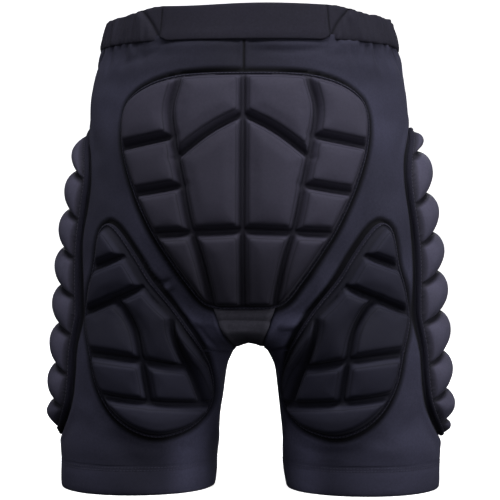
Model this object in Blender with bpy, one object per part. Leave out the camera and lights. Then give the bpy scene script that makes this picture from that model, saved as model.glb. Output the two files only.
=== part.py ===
"""Padded impact shorts: a stretch shell with moulded seat, thigh and hip pads.

The shorts stand on their leg hems: +Z is up, the wearer's back faces -Y and
the wearer's left is at -X. Dimensions are millimetres; vertices are written in
metres. Everything on the wearer's left is the mirror of the right-hand piece.
"""

import math

import bmesh
import bpy
import numpy as np
from mathutils import Vector
from mathutils.geometry import delaunay_2d_cdt

# ---------------------------------------------------------------- dimensions
TOP = 460.0             # hem edge to top edge of the waistband
BAND_BASE = 426.0       # lower edge of the waistband
HEM_TOP = 30.0          # upper edge of the turned-up leg hem
GAP = 0.3               # clearance between neighbouring pieces
FABRIC = 1.5            # shell panel thickness
HEM_PROUD = 0.3         # hem stands this far outside the panel
HEM_THICK = 2.4
BAND_PROUD = 0.8
BAND_THICK = 3.0        # flat centre sections of the waistband
CASING_THICK = 4.6      # gathered side sections, with elastic inside
CASING_WALL = 1.2
BAND_FLAT_HALF = 78.0   # half width of the flat centre section
DEPTH_SHIFT = 17.5      # brings the middle of the whole garment to Y = 0

# Shell cross-sections, as (height, value)
TORSO_HALF_WIDTH = ((120, 181), (170, 178), (231, 173), (306, 162), (352, 156),
                    (380, 154), (426, 145), (460, 139))
TORSO_BACK = ((120, 98), (180, 109), (215, 118), (260, 125), (310, 122), (380, 112),
              (426, 104), (460, 100))
TORSO_FRONT = ((120, 92), (180, 99), (300, 105), (380, 103), (426, 101), (460, 100))
TORSO_POWER = 2.35
LEG_CENTRE = ((0, 110.5), (43, 109), (105, 104), (121, 102), (139, 97.5), (190, 83))
LEG_HALF_WIDTH = ((0, 75.5), (43, 77), (105, 78.3), (121, 79), (139, 82.5), (190, 93))
LEG_BACK = ((0, 80), (60, 84), (110, 90), (150, 99), (190, 108))
LEG_FRONT = ((0, 80), (60, 84), (110, 89), (150, 95), (190, 99))
LEG_POWER = 2.1
BLEND_FROM, BLEND_TO = 126.0, 174.0     # legs merge into the seat between these heights
AXIS = ((0, 110.5), (43, 109), (105, 104), (139, 96), (200, 80), (300, 68), (460, 60))

# Side seam: how far forward or back of the side line it runs, by height
SIDE_SEAM = ((30, 0), (352, 0), (376, -6), (400, -22), (426, -39))

# Crotch gusset: half width by angle from straight down, toward the back and the front
CROTCH_FROM, CROTCH_TO = 132.0, 156.0   # and more sharply beside the crotch
GUSSET_HUB = 250.0
GUSSET_BACK = ((0, 14.5), (32, 15.5), (41, 17.5), (51, 24), (57, 29), (64, 28), (77, 1))
GUSSET_FRONT = ((0, 14.5), (32, 15.5), (41, 17), (51, 21), (57, 24), (64, 20), (77, 1))
GUSSET_TIP = 222.0

# Pad layers, measured out from the shell surface
PAD_LIFT = 1.4
BACKING = 0.8
FOAM_WEB = 1.1          # foam left under the grooves and the edge flange
COVER = 0.8
BINDING = 2.0
BINDING_TOP = 4.9
EDGE_GAP = 0.7          # between the edge binding and the layers inside it

SEAT_HEIGHT = 10.5      # how far the seat blocks stand above the groove floor
THIGH_HEIGHT = 9.0
HIP_HEIGHT = 11.0

SEAT_HALF = ((0, 395), (50, 394), (75, 390), (95, 382), (108, 371), (113.5, 357),
             (114.5, 340), (112.5, 322), (108, 304), (102, 286), (94.5, 268),
             (84.5, 248), (74, 231), (54, 202), (34, 180), (0, 177))
SEAT_SPINE = ((0, 400), (0, 170))
SEAT_RAIL = ((56.5, 400), (58, 388), (64.5, 358), (61.5, 332), (54, 292), (46, 252),
             (38.5, 228), (29, 186), (26.5, 172))
SEAT_CHEVRON = ((0, 354), (25, 341), (55, 318), (61, 313))
SEAT_BRANCH_UP = ((118, 323.2), (108, 325), (60, 334.4))
SEAT_BRANCH_MID = ((108, 281), (98, 282), (51, 289.2))
SEAT_BRANCH_LOW = ((92, 245.7), (86, 246), (46, 248), (0, 250), (-2, 250))

THIGH_RING = ((126, 257), (134, 252), (138, 241), (142, 217), (148, 195.5), (152, 162),
              (146, 133), (140.5, 105), (128, 80), (109.5, 63), (85.5, 54.7), (60, 60),
              (47, 69), (38, 82), (35, 98), (36.5, 118), (42, 142), (54.5, 164),
              (68, 183), (86, 205.5), (98.5, 226), (116, 250.5))
THIGH_LINES = (
    ((150, 210), (145, 212), (113, 225), (96, 231)),
    ((156, 168), (150, 171), (98, 196), (76, 206)),
    ((119.5, 188), (112.5, 183), (100, 160), (95.6, 130)),
    ((150, 134.5), (142.5, 134), (95.6, 130), (55.5, 124)),
    ((58, 187), (65.5, 165), (61.5, 134.5), (55, 112), (47.2, 84)),
    ((95.6, 130), (91, 90.5)),
    ((140, 99), (133, 97), (91, 90.5), (48, 86.5), (30, 85)),
)

HIP_HALF = 56.0
HIP_EDGE = ((48, 0), (60, 27), (80, 45.5), (105, 52), (170, 56), (231, 57), (290, 57),
            (318, 47), (338, 24), (352, 0))
HIP_VALLEYS = (318, 278, 240, 203, 165, 126, 89)
HIP_ARCH = 16.0         # the ribs droop this much from the side line to the edge


# ------------------------------------------------------------ shell surface
def along(knots, at):
    """Smooth curve through (position, value) knots, level past both ends."""
    k = np.array(knots, float)
    x, v = k[:, 0], k[:, 1]
    slope = np.gradient(v, x)
    at = np.clip(np.asarray(at, float), x[0], x[-1])
    i = np.clip(np.searchsorted(x, at, side="right") - 1, 0, len(x) - 2)
    h = x[i + 1] - x[i]
    t = (at - x[i]) / h
    rise = v[i] + (3 * t**2 - 2 * t**3) * (v[i + 1] - v[i])
    return rise + h * ((t**3 - 2 * t**2 + t) * slope[i] + (t**3 - t**2) * slope[i + 1])


def field(p):
    """Negative inside the shorts, positive outside, zero on the shell's outer surface."""
    x, y, z = np.abs(p[..., 0]), p[..., 1], p[..., 2]
    leg_depth = np.where(y < 0, along(LEG_BACK, z), along(LEG_FRONT, z))
    leg = (np.abs((x - along(LEG_CENTRE, z)) / along(LEG_HALF_WIDTH, z)) ** LEG_POWER
           + np.abs(y / leg_depth) ** LEG_POWER - 1)
    depth = np.where(y < 0, along(TORSO_BACK, z), along(TORSO_FRONT, z))
    torso = ((x / along(TORSO_HALF_WIDTH, z)) ** TORSO_POWER
             + np.abs(y / depth) ** TORSO_POWER - 1)
    aside = np.clip((x - 14) / 32, 0, 1)
    aside = aside * aside * (3 - 2 * aside)
    low = CROTCH_FROM + (BLEND_FROM - CROTCH_FROM) * aside
    high = CROTCH_TO + (BLEND_TO - CROTCH_TO) * aside
    t = np.clip((z - low) / (high - low), 0, 1)
    w = t * t * (3 - 2 * t)
    return (1 - w) * leg + w * torso


def normals(p):
    """Outward unit normals of the shell surface at points on it."""
    g = np.stack([field(p + e) - field(p - e) for e in np.eye(3) * 0.4], axis=-1)
    return g / np.linalg.norm(g, axis=-1, keepdims=True)


def cast(start, toward, reach=260.0):
    """Where rays from inside the shorts first leave the shell."""
    start, toward = np.broadcast_arrays(np.asarray(start, float), np.asarray(toward, float))
    near = np.zeros(start.shape[:-1])
    found = np.zeros(start.shape[:-1], bool)
    stride = 7.0
    for _ in range(int(reach / stride)):
        outside = field(start + toward * (near + stride)[..., None]) >= 0
        found |= outside
        near = np.where(found, near, near + stride)
        if found.all():
            break
    far = near + stride
    for _ in range(22):
        mid = (near + far) / 2
        inside = field(start + toward * mid[..., None]) < 0
        near, far = np.where(inside, mid, near), np.where(inside, far, mid)
    return start + toward * near[..., None]


def level(n):
    """Normals turned level, for pieces cut square at top and bottom."""
    flat = n * np.array((1.0, 1.0, 0.0))
    return flat / np.linalg.norm(flat, axis=-1, keepdims=True)


# ------------------------------------------------------------- mesh helpers
def colour(name, rgb, roughness):
    mat = bpy.data.materials.new(name)
    mat.use_nodes = True
    bsdf = mat.node_tree.nodes["Principled BSDF"]
    bsdf.inputs["Base Color"].default_value = (*rgb, 1.0)
    bsdf.inputs["Roughness"].default_value = roughness
    mat.diffuse_color = (*rgb, 1.0)
    return mat


def solid(name, points, faces, look):
    """One closed body in metres with its own material, faces turned outward."""
    xyz = (np.asarray(points, float) + np.array((0.0, DEPTH_SHIFT, 0.0))) / 1000.0
    mesh = bpy.data.meshes.new(name)
    mesh.from_pydata([tuple(v) for v in xyz], [], [tuple(int(i) for i in f) for f in faces])
    bm = bmesh.new()
    bm.from_mesh(mesh)
    bmesh.ops.remove_doubles(bm, verts=bm.verts, dist=2e-5)
    bmesh.ops.recalc_face_normals(bm, faces=bm.faces)
    bm.to_mesh(mesh)
    bm.free()
    mesh.materials.append(colour(name, *look))
    obj = bpy.data.objects.new(name, mesh)
    bpy.context.scene.collection.objects.link(obj)
    return obj


def pair(stem, points, faces, look):
    """The right-hand piece and its mirror image on the left."""
    points = np.asarray(points, float)
    solid(stem.format("right"), points, faces, look)
    flipped = [tuple(reversed(f)) for f in faces]
    solid(stem.format("left"), points * np.array((-1.0, 1.0, 1.0)), flipped, look)


def grid_faces(rows, cols, first=0, flip=False):
    faces = []
    for r in range(rows - 1):
        for c in range(cols - 1):
            a = first + r * cols + c
            q = (a, a + 1, a + 1 + cols, a + cols)
            faces.append(tuple(reversed(q)) if flip else q)
    return faces


def sheet(points, normal, inner, outer):
    """A cloth panel from a grid of surface points, between two offsets."""
    rows, cols = points.shape[:2]
    n = rows * cols
    verts = np.concatenate([(points + normal * outer).reshape(-1, 3),
                            (points + normal * inner).reshape(-1, 3)])
    faces = grid_faces(rows, cols) + grid_faces(rows, cols, n, True)
    rim = ([c for c in range(cols)] + [r * cols + cols - 1 for r in range(1, rows)]
           + [(rows - 1) * cols + c for c in range(cols - 2, -1, -1)]
           + [r * cols for r in range(rows - 2, 0, -1)])
    for a, b in zip(rim, rim[1:] + rim[:1]):
        faces.append((a, a + n, b + n, b))
    return verts, faces


def swept(loops, closed):
    """A bar through cross-section loops of equal length; ring if closed."""
    count, size = loops.shape[:2]
    verts = loops.reshape(-1, 3)
    faces = []
    for s in range(count if closed else count - 1):
        a, b = s * size, ((s + 1) % count) * size
        for k in range(size):
            j = (k + 1) % size
            faces.append((a + k, a + j, b + j, b + k))
    if not closed:
        faces.append(tuple(range(size)))
        faces.append(tuple((count - 1) * size + k for k in range(size - 1, -1, -1)))
    return verts, faces


# ------------------------------------------------------------- shell panels
def leg_point(z, angle):
    """Shell points round one leg: angle 0 at the inseam, 90 at the back, 180 outside."""
    z, angle = np.broadcast_arrays(np.asarray(z, float), np.asarray(angle, float))
    start = np.stack([along(AXIS, z), 0 * z, z], axis=-1)
    toward = np.stack([-np.cos(angle), -np.sin(angle), 0 * z], axis=-1)
    return cast(start, toward)


def angle_at(p):
    return np.arctan2(-p[..., 1], along(AXIS, p[..., 2]) - p[..., 0]) % (2 * math.pi)


def gusset_point(half, degrees, sign):
    """Shell point over the crotch, at a distance from the middle and an angle from below."""
    phi = np.radians(degrees)
    half, phi = np.broadcast_arrays(np.asarray(half, float), phi)
    start = np.stack([half, 0 * half, 0 * half + GUSSET_HUB], axis=-1)
    toward = np.stack([0 * phi, sign * np.sin(phi), -np.cos(phi)], axis=-1)
    return cast(start, toward, 255.0)


def gusset_edge(sign):
    """Panel edge beside the gusset, sampled finely: heights, angles and points."""
    widths = GUSSET_BACK if sign < 0 else GUSSET_FRONT
    degrees = np.linspace(0, 77, 300)
    points = gusset_point(along(widths, degrees) + GAP / 2, degrees, sign)
    return np.maximum.accumulate(points[:, 2]), degrees, points


def gusset_rows(crotch):
    """Heights at which the panels meet the gusset, closer together near the crotch."""
    steps = np.linspace(0, 1, 14) ** 1.6
    return crotch + (GUSSET_TIP - crotch) * steps


def inner_angle(z, sign, edge):
    """Where a panel starts at a height: inseam, gusset edge or centre seam."""
    heights, degrees, points = edge
    if z < heights[0] - 0.01:
        return angle_at(np.array((0.0, sign * GAP / 2, z)))
    if z <= GUSSET_TIP + 0.01:
        at = np.interp(z, heights, degrees)
        widths = GUSSET_BACK if sign < 0 else GUSSET_FRONT
        return angle_at(gusset_point(along(widths, at) + GAP / 2, at, sign))
    return angle_at(cast(np.array((GAP / 2, 0.0, z)), np.array((0.0, sign, 0.0))))


def seam_angle(z, sign):
    """Side seam angle at a height, set back half a gap toward the given side."""
    y = along(SIDE_SEAM, z) + sign * GAP / 2
    return angle_at(cast(np.array((along(AXIS, z), y, z)), np.array((1.0, 0.0, 0.0))))


def even_angles(z, first, last, count):
    """Angles that space points evenly along the shell between two angles."""
    fine = np.linspace(first, last, 121)
    p = leg_point(z, fine)
    run = np.concatenate([[0], np.cumsum(np.linalg.norm(np.diff(p, axis=0), axis=1))])
    return np.interp(np.linspace(0, run[-1], count), run, fine)


def shell_panel(sign, heights, edge, columns):
    """Right-hand back or front panel, from the centre or inseam out to the side seam."""
    rows = []
    for z in heights:
        start = float(inner_angle(z, sign, edge))
        if sign > 0 and start < 0.5:
            start = 2 * math.pi
        angles = even_angles(z, start, float(seam_angle(z, sign)), columns)
        rows.append(leg_point(z, angles))
    points = np.array(rows)
    return sheet(points, normals(points), -FABRIC, 0.0)


def gusset(heights, edges):
    """The crotch gusset, one strip from the back tip to the front tip."""
    rows = []
    for sign, widths in ((-1, GUSSET_BACK), (1, GUSSET_FRONT)):
        z_fine, degrees, _ = edges[sign]
        at = np.interp(heights, z_fine, degrees)
        at[0] = 0.0
        side = []
        for d in at:
            half = float(along(widths, d)) - GAP / 2
            side.append(gusset_point(np.linspace(-half, half, 5), d, sign))
        rows.append(side)
    points = np.array(rows[0][::-1] + rows[1][1:])
    return sheet(points, normals(points), -FABRIC, 0.0)


def build_shell():
    edges = {-1: gusset_edge(-1), 1: gusset_edge(1)}
    crotch = max(edges[-1][0][0], edges[1][0][0])
    meet = gusset_rows(crotch)
    below = crotch - np.array((crotch - HEM_TOP - GAP, 78, 56, 37, 22, 12, 5))
    heights = np.concatenate([below, meet,
                              np.linspace(GUSSET_TIP + 5, BAND_BASE - GAP, 11)])
    knit = ((0.028, 0.027, 0.036), 0.85)
    pair("back_panel_{}", *shell_panel(-1, heights, edges[-1], 15), knit)
    pair("front_panel_{}", *shell_panel(1, heights, edges[1], 12), knit)
    solid("crotch_gusset", *gusset(meet, edges), ((0.024, 0.023, 0.030), 0.8))


def leg_hem():
    """Turned-up hem round the right leg, cut square so the shorts stand on it."""
    angles = np.linspace(0, 2 * math.pi, 41)[:-1]
    loops = []
    for a in angles:
        z = np.array((0.0, HEM_TOP))
        p = leg_point(z, a)
        n = level(normals(p))
        outer, inner = p + n * HEM_PROUD, p + n * (HEM_PROUD - HEM_THICK)
        loops.append((outer[0], outer[1], inner[1], inner[0]))
    return swept(np.array(loops), True)


# ---------------------------------------------------------------- waistband
def band_point(z, bearing):
    """Shell points round the waist: bearing 0 at the back, 90 on the wearer's right."""
    z, bearing = np.broadcast_arrays(np.asarray(z, float), np.asarray(bearing, float))
    start = np.stack([0 * z, 0 * z, z], axis=-1)
    return cast(start, np.stack([np.sin(bearing), -np.cos(bearing), 0 * z], axis=-1))


def band_corner(bearing, z, offset):
    p = band_point(z, bearing)
    return p + level(normals(p)) * offset


def band_strip(first, last, count, low, high, outside, inside):
    """A plain strip of the waistband between two bearings."""
    loops = []
    for b in np.linspace(first, last, count):
        loops.append([band_corner(b, z, o) for z, o in
                      ((low, outside), (high, outside), (high, inside), (low, inside))])
    return swept(np.array(loops), False)


def casing(first, last, count):
    """A folded tunnel of cloth, open at both ends, for the elastic."""
    w, out, inn = CASING_WALL, BAND_PROUD, BAND_PROUD - CASING_THICK
    spots = ((BAND_BASE, out), (TOP, out), (TOP, inn), (BAND_BASE, inn),
             (BAND_BASE + w, out - w), (TOP - w, out - w), (TOP - w, inn + w),
             (BAND_BASE + w, inn + w))
    loops = np.array([[band_corner(b, z, o) for z, o in spots]
                      for b in np.linspace(first, last, count)])
    faces = []
    for s in range(count - 1):
        a, b = 8 * s, 8 * s + 8
        for k in range(4):
            j = (k + 1) % 4
            faces.append((a + k, a + j, b + j, b + k))
            faces.append((a + 4 + k, b + 4 + k, b + 4 + j, a + 4 + j))
    for a in (0, 8 * (count - 1)):
        for k in range(4):
            j = (k + 1) % 4
            faces.append((a + k, a + j, a + 4 + j, a + 4 + k))
    return loops.reshape(-1, 3), faces


def build_waistband():
    z = (BAND_BASE + TOP) / 2
    corner = cast(np.array((BAND_FLAT_HALF, 0.0, z)), np.array((0.0, -1.0, 0.0)))
    turn = math.atan2(corner[0], -corner[1])
    front = cast(np.array((BAND_FLAT_HALF, 0.0, z)), np.array((0.0, 1.0, 0.0)))
    turn_front = math.atan2(front[0], -front[1])
    slack = GAP / 2 / 120
    band = ((0.030, 0.029, 0.038), 0.8)
    inner = BAND_PROUD - BAND_THICK
    solid("waistband_back", *band_strip(-turn + slack, turn - slack, 13, BAND_BASE, TOP,
                                        BAND_PROUD, inner), band)
    solid("waistband_front", *band_strip(turn_front + slack, 2 * math.pi - turn_front - slack,
                                         13, BAND_BASE, TOP, BAND_PROUD, inner), band)
    pair("waistband_{}", *casing(turn + slack, turn_front - slack, 15), band)
    w = CASING_WALL + GAP
    pair("waist_elastic_{}", *band_strip(turn + slack, turn_front - slack, 15,
                                         BAND_BASE + w, TOP - w, BAND_PROUD - w,
                                         BAND_PROUD - CASING_THICK + w),
         ((0.20, 0.20, 0.21), 0.9))


# ------------------------------------------------------------ flat geometry
def smooth_ring(points, spacing, corners=()):
    """A closed curve through points, sharp only at the listed corner numbers."""
    p = np.array(points, float)
    n = len(p)
    out = []
    for i in range(n):
        a, b = p[i], p[(i + 1) % n]
        before = p[i - 1] if i not in corners else 2 * a - b
        after = p[(i + 2) % n] if (i + 1) % n not in corners else 2 * b - a
        span = np.linalg.norm(b - a)
        ta = (b - before) * span / (np.linalg.norm(a - before) + span)
        tb = (after - a) * span / (np.linalg.norm(after - b) + span)
        steps = max(1, round(span / spacing))
        t = (np.arange(steps) / steps)[:, None]
        out.append(a + (3 * t**2 - 2 * t**3) * (b - a) + (t**3 - 2 * t**2 + t) * ta
                   + (t**3 - t**2) * tb)
    return np.concatenate(out)


def thin_ring(ring, spacing):
    """Drops ring points that stand closer together than the spacing."""
    keep = [0]
    for i in range(1, len(ring)):
        if (np.linalg.norm(ring[i] - ring[keep[-1]]) >= spacing
                and np.linalg.norm(ring[i] - ring[0]) >= spacing * 0.6):
            keep.append(i)
    return ring[keep]


def area(ring):
    x, y = ring[:, 0], ring[:, 1]
    return 0.5 * float(np.sum(x * np.roll(y, -1) - np.roll(x, -1) * y))


def meet(a, b):
    """Where two shifted sides cross; sides in line with each other keep their shared point."""
    det = a["along"][0] * b["along"][1] - a["along"][1] * b["along"][0]
    pa = a["start"] + a["inward"] * a["by"]
    pb = b["start"] + b["inward"] * b["by"]
    if abs(det) > 0.12:
        gap = pb - pa
        return pa + a["along"] * (gap[0] * b["along"][1] - gap[1] * b["along"][0]) / det
    middle = (a["end"] + b["start"]) / 2
    return middle + (a["inward"] * a["by"] + b["inward"] * b["by"]) / 2


def inset(ring, distance):
    """Moves every side of a counter-clockwise ring inward by its own distance,
    leaving out sides that shrink to nothing."""
    distance = np.broadcast_to(distance, len(ring))
    sides = []
    for k, (a, b) in enumerate(zip(ring, np.roll(ring, -1, axis=0))):
        run = (b - a) / np.linalg.norm(b - a)
        sides.append({"start": a, "end": b, "along": run, "by": distance[k],
                      "inward": np.array((-run[1], run[0]))})
    while True:
        corners = [meet(sides[k - 1], sides[k]) for k in range(len(sides))]
        left = [float((b - a) @ side["along"])
                for a, b, side in zip(corners, corners[1:] + corners[:1], sides)]
        worst = int(np.argmin(left))
        if left[worst] > 2.5 or len(sides) < 4:
            return np.array(corners)
        del sides[worst]


def within(points, ring):
    """Which points lie inside a ring."""
    x, y = points[:, 0, None], points[:, 1, None]
    a, b = ring, np.roll(ring, -1, axis=0)
    straddles = (a[:, 1] > y) != (b[:, 1] > y)
    rise = np.where(b[:, 1] == a[:, 1], 1e-9, b[:, 1] - a[:, 1])
    crossing = x < (b[:, 0] - a[:, 0]) * (y - a[:, 1]) / rise + a[:, 0]
    return np.sum(straddles & crossing, axis=1) % 2 == 1


def edge_distance(points, ring):
    """Shortest distance from points to the sides of a ring."""
    a, b = ring, np.roll(ring, -1, axis=0)
    d = b - a
    t = np.einsum("pij,ij->pi", points[:, None] - a, d) / np.sum(d * d, axis=1)
    foot = a + np.clip(t, 0, 1)[..., None] * d
    return np.linalg.norm(points[:, None] - foot, axis=-1).min(axis=1)


def infill(ring, across, up, margin):
    """Staggered points inside a ring, kept clear of its sides."""
    low, high = ring.min(axis=0), ring.max(axis=0)
    pts = []
    for r, v in enumerate(np.arange(low[1] + margin, high[1], up)):
        for u in np.arange(low[0] + (r % 2) * across / 2, high[0], across):
            pts.append((u, v))
    pts = np.array(pts).reshape(-1, 2)
    if len(pts) == 0:
        return pts
    pts = pts[within(pts, ring)]
    return pts[edge_distance(pts, ring) > margin] if len(pts) else pts


def triangulate(points, rings):
    """Triangles between rings, each a (first, count) run of the points, inside the first."""
    edges = []
    for first, count in rings:
        edges += [(first + k, first + (k + 1) % count) for k in range(count)]
    out = delaunay_2d_cdt([Vector(p) for p in points], edges, [], 0, 1e-5, True)
    tris, origin = out[2], out[3]
    if len(out[0]) != len(points) or any(len(o) != 1 for o in origin):
        raise ValueError("pad outline points coincide")
    outline = np.array(points[:rings[0][1]])
    tris = [tuple(origin[i][0] for i in t) for t in tris]
    centres = np.array([np.mean([points[i] for i in t], axis=0) for t in tris])
    return [t for t, keep in zip(tris, within(centres, outline)) if keep]


def blocks(ring, lines):
    """Splits the region inside a ring along lines; returns each region's own ring
    and, for each of its sides, whether that side lies on the outer ring."""
    pts = [Vector(p) for p in ring]
    edges = []
    for line in lines:
        first = len(pts)
        pts += [Vector(p) for p in line]
        edges += [(first + k, first + k + 1) for k in range(len(line) - 1)]
    edges += [(k, (k + 1) % len(ring)) for k in range(len(ring))]
    verts, all_edges, tris, _, made_by, _ = delaunay_2d_cdt(pts, edges, [], 0, 1e-3, True)
    middles = np.array([np.mean([verts[i][:2] for i in t], axis=0) for t in tris])
    tris = [tuple(t) for t, keep in zip(tris, within(middles, ring)) if keep]
    fixed = {frozenset(e) for e, o in zip(all_edges, made_by) if o}
    users = {}
    for t, tri in enumerate(tris):
        for a, b in zip(tri, tri[1:] + tri[:1]):
            users.setdefault(frozenset((a, b)), []).append(t)
    group = list(range(len(tris)))

    def root(i):
        while group[i] != i:
            i = group[i]
        return i

    for e, pair_ in users.items():
        if len(pair_) == 2 and e not in fixed:
            group[root(pair_[0])] = root(pair_[1])
    regions = {}
    for t, tri in enumerate(tris):
        nxt = regions.setdefault(root(t), {})
        for a, b in zip(tri, tri[1:] + tri[:1]):
            e = frozenset((a, b))
            if len(users[e]) == 1 or len({root(i) for i in users[e]}) == 2:
                nxt[a] = (b, len(users[e]) == 1)
    found = []
    for nxt in regions.values():
        start = min(nxt)
        loop, outer, at = [], [], start
        while True:
            loop.append(verts[at][:2])
            outer.append(nxt[at][1])
            at = nxt[at][0]
            if at == start:
                break
        found.append((np.array(loop), np.array(outer)))
    return sorted(found, key=lambda f: (round(f[0][:, 1].mean(), 3), round(f[0][:, 0].mean(), 3)))


def coarsen(loop, outer, reach):
    """Evenly spaced points along each stretch between a block's corners."""
    n = len(loop)
    side = np.roll(loop, -1, axis=0) - loop
    corners = []
    for i in range(n):
        u, v = side[i - 1], side[i]
        turn = math.atan2(u[0] * v[1] - u[1] * v[0], u @ v)
        if outer[i] != outer[i - 1] or abs(turn) > 0.5:
            corners.append(i)
    points, kinds = [], []
    for a, b in zip(corners, corners[1:] + [corners[0] + n]):
        chain = loop[np.arange(a, b + 1) % n]
        run = np.concatenate([[0], np.cumsum(np.linalg.norm(np.diff(chain, axis=0), axis=1))])
        count = max(1, round(run[-1] / reach))
        at = np.arange(count) / count * run[-1]
        points += list(np.stack([np.interp(at, run, chain[:, 0]),
                                 np.interp(at, run, chain[:, 1])], axis=1))
        kinds += [outer[a % n]] * count
    return np.array(points), np.array(kinds)


# --------------------------------------------------------------------- pads
def pad_top(ring, lines, groove, flange, steps, height, reach):
    """Moulded upper face of a pad: flat edge and groove floors with raised blocks.

    steps holds (distance in from the foot of the block, share of its height)."""
    points, rise, rings = list(ring), [0.0] * len(ring), [(0, len(ring))]
    for loop, outer in blocks(ring, lines):
        loop, outer = coarsen(loop, outer, reach)
        middles = (loop + np.roll(loop, -1, axis=0)) / 2
        base = np.where(outer, [flange(m) for m in middles], groove)
        for inward, share in steps:
            inner_ring = inset(loop, base + inward)
            if area(inner_ring) < 60:
                break
            level_ring = inner_ring
            rings.append((len(points), len(level_ring)))
            points += list(level_ring)
            rise += [share * height] * len(level_ring)
        extra = infill(level_ring, 22.0, 26.0, 8.0)
        points += list(extra)
        rise += [height + 0.6] * len(extra)
    return np.array(points), np.array(rise), triangulate(points, rings)


def pad_back(ring, across, up):
    """Plain face of a pad: the ring filled with evenly spaced points."""
    extra = infill(ring, across, up, 7.0)
    points = np.concatenate([ring, extra])
    return points, triangulate(points, [(0, len(ring))])


def layer(place, lower, upper, ring_count):
    """A solid between two faces that share their outer ring of points.

    Each face is (flat points, offsets from the shell, triangles)."""
    verts, faces = [], []
    for flat, offset, tris in (lower, upper):
        base, normal = place(flat)
        verts.append(base + normal * np.broadcast_to(offset, len(flat))[:, None])
    shift = len(verts[0])
    faces += [tuple(reversed(t)) for t in lower[2]]
    faces += [tuple(i + shift for i in t) for t in upper[2]]
    for k in range(ring_count):
        j = (k + 1) % ring_count
        faces.append((k, j, j + shift, k + shift))
    return np.concatenate(verts), faces


def binding(place, ring):
    """Edge tape round a pad, outside the padded layers."""
    outer_base, outer_normal = place(ring)
    inner_base, inner_normal = place(inset(ring, BINDING))
    low, high = PAD_LIFT, BINDING_TOP
    loops = np.stack([outer_base + outer_normal * low,
                      outer_base + outer_normal * (high - 0.8),
                      inner_base + inner_normal * high,
                      inner_base + inner_normal * low], axis=1)
    return swept(loops, True)


def pad_pieces(place, ring, lines, flange, steps, height, reach, net):
    """Backing, foam, cover and binding of one pad, from the shell outward."""
    core = inset(ring, BINDING + EDGE_GAP)
    count = len(core)
    back_points, back_tris = pad_back(core, *net)
    top_points, rise, top_tris = pad_top(core, lines, 2.0, flange, steps, height, reach)
    b0, b1 = PAD_LIFT, PAD_LIFT + BACKING
    f0 = b1 + GAP
    f1 = f0 + FOAM_WEB + rise
    c0 = f1 + GAP
    return {
        "backing": layer(place, (back_points, b0, back_tris), (back_points, b1, back_tris),
                         count),
        "foam": layer(place, (back_points, f0, back_tris), (top_points, f1, top_tris), count),
        "cover": layer(place, (top_points, c0, top_tris), (top_points, c0 + COVER, top_tris),
                       count),
        "binding": binding(place, ring),
    }


def on_back(flat):
    """Places flat (across, up) points on the back of the shorts."""
    n = len(flat)
    p = cast(np.stack([flat[:, 0], np.zeros(n), flat[:, 1]], axis=1), np.array((0.0, -1.0, 0.0)))
    return p, normals(p)


def on_side(flat):
    """Places flat (forward, up) points on the wearer's right side."""
    z = flat[:, 1]
    p = cast(np.stack([along(AXIS, z), flat[:, 0], z], axis=1), np.array((1.0, 0.0, 0.0)))
    return p, normals(p)


def mirrored(line):
    return [(-x, z) for x, z in line]


def seat_pad():
    half = SEAT_HALF[1:-1]
    ring = list(half[::-1]) + [(0.0, SEAT_HALF[0][1])] + mirrored(half) + [(0.0, SEAT_HALF[-1][1])]
    ring = thin_ring(smooth_ring(ring, 16.0), 9.0)
    if area(ring) < 0:
        ring = ring[::-1]
    lines = [SEAT_SPINE]
    for line in (SEAT_RAIL, SEAT_CHEVRON, SEAT_BRANCH_UP, SEAT_BRANCH_MID, SEAT_BRANCH_LOW):
        lines += [list(line), mirrored(line)]
    return pad_pieces(on_back, ring, lines, lambda m: 1.5, ((0, 0), (4.5, 1)), SEAT_HEIGHT, 14.0,
                      (17.0, 20.0))


def thigh_pad():
    ring = thin_ring(smooth_ring(THIGH_RING, 16.0), 9.0)
    if area(ring) < 0:
        ring = ring[::-1]

    def flange(m):
        """Wider on the upper inner edge, which lies flat beside the seat pad."""
        return 6.0 if m[1] > 175 and m[0] < 60 + (m[1] - 150) * 0.55 else 1.5

    return pad_pieces(on_back, ring, THIGH_LINES, flange, ((0, 0), (4.5, 1)), THIGH_HEIGHT, 14.0,
                      (11.0, 17.0))


def hip_pad():
    rear = [(-y, z) for z, y in HIP_EDGE]
    front = [(y, z) for z, y in HIP_EDGE]
    ring = front + rear[-2:0:-1]
    ring = thin_ring(smooth_ring(ring, 15.0, corners=(0, len(front) - 1)), 9.0)
    if area(ring) < 0:
        ring = ring[::-1]
    lines = []
    for z in HIP_VALLEYS:
        across = np.linspace(-70, 70, 7)
        lines.append([(y, z + HIP_ARCH * (0.35 - (y / HIP_HALF) ** 2)) for y in across])
    steps = ((0, 0), (3.0, 0.6), (9.5, 1))
    return pad_pieces(on_side, ring, lines, lambda m: 5.0, steps, HIP_HEIGHT, 20.0, (15.0, 26.0))


LAYER_LOOKS = {
    "backing": ((0.10, 0.10, 0.11), 0.9),
    "foam": ((0.16, 0.16, 0.17), 0.75),
    "cover": ((0.032, 0.030, 0.040), 0.55),
    "binding": ((0.020, 0.019, 0.025), 0.7),
}


def build_pads():
    for layer_name, (verts, faces) in seat_pad().items():
        solid("seat_pad_" + layer_name, verts, faces, LAYER_LOOKS[layer_name])
    for stem, pieces in (("thigh_pad_{}_", thigh_pad()), ("hip_pad_{}_", hip_pad())):
        for layer_name, (verts, faces) in pieces.items():
            pair(stem + layer_name, verts, faces, LAYER_LOOKS[layer_name])


def main():
    for obj in list(bpy.data.objects):
        bpy.data.objects.remove(obj, do_unlink=True)
    build_shell()
    pair("leg_hem_{}", *leg_hem(), ((0.026, 0.025, 0.033), 0.85))
    build_waistband()
    build_pads()


main()
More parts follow.
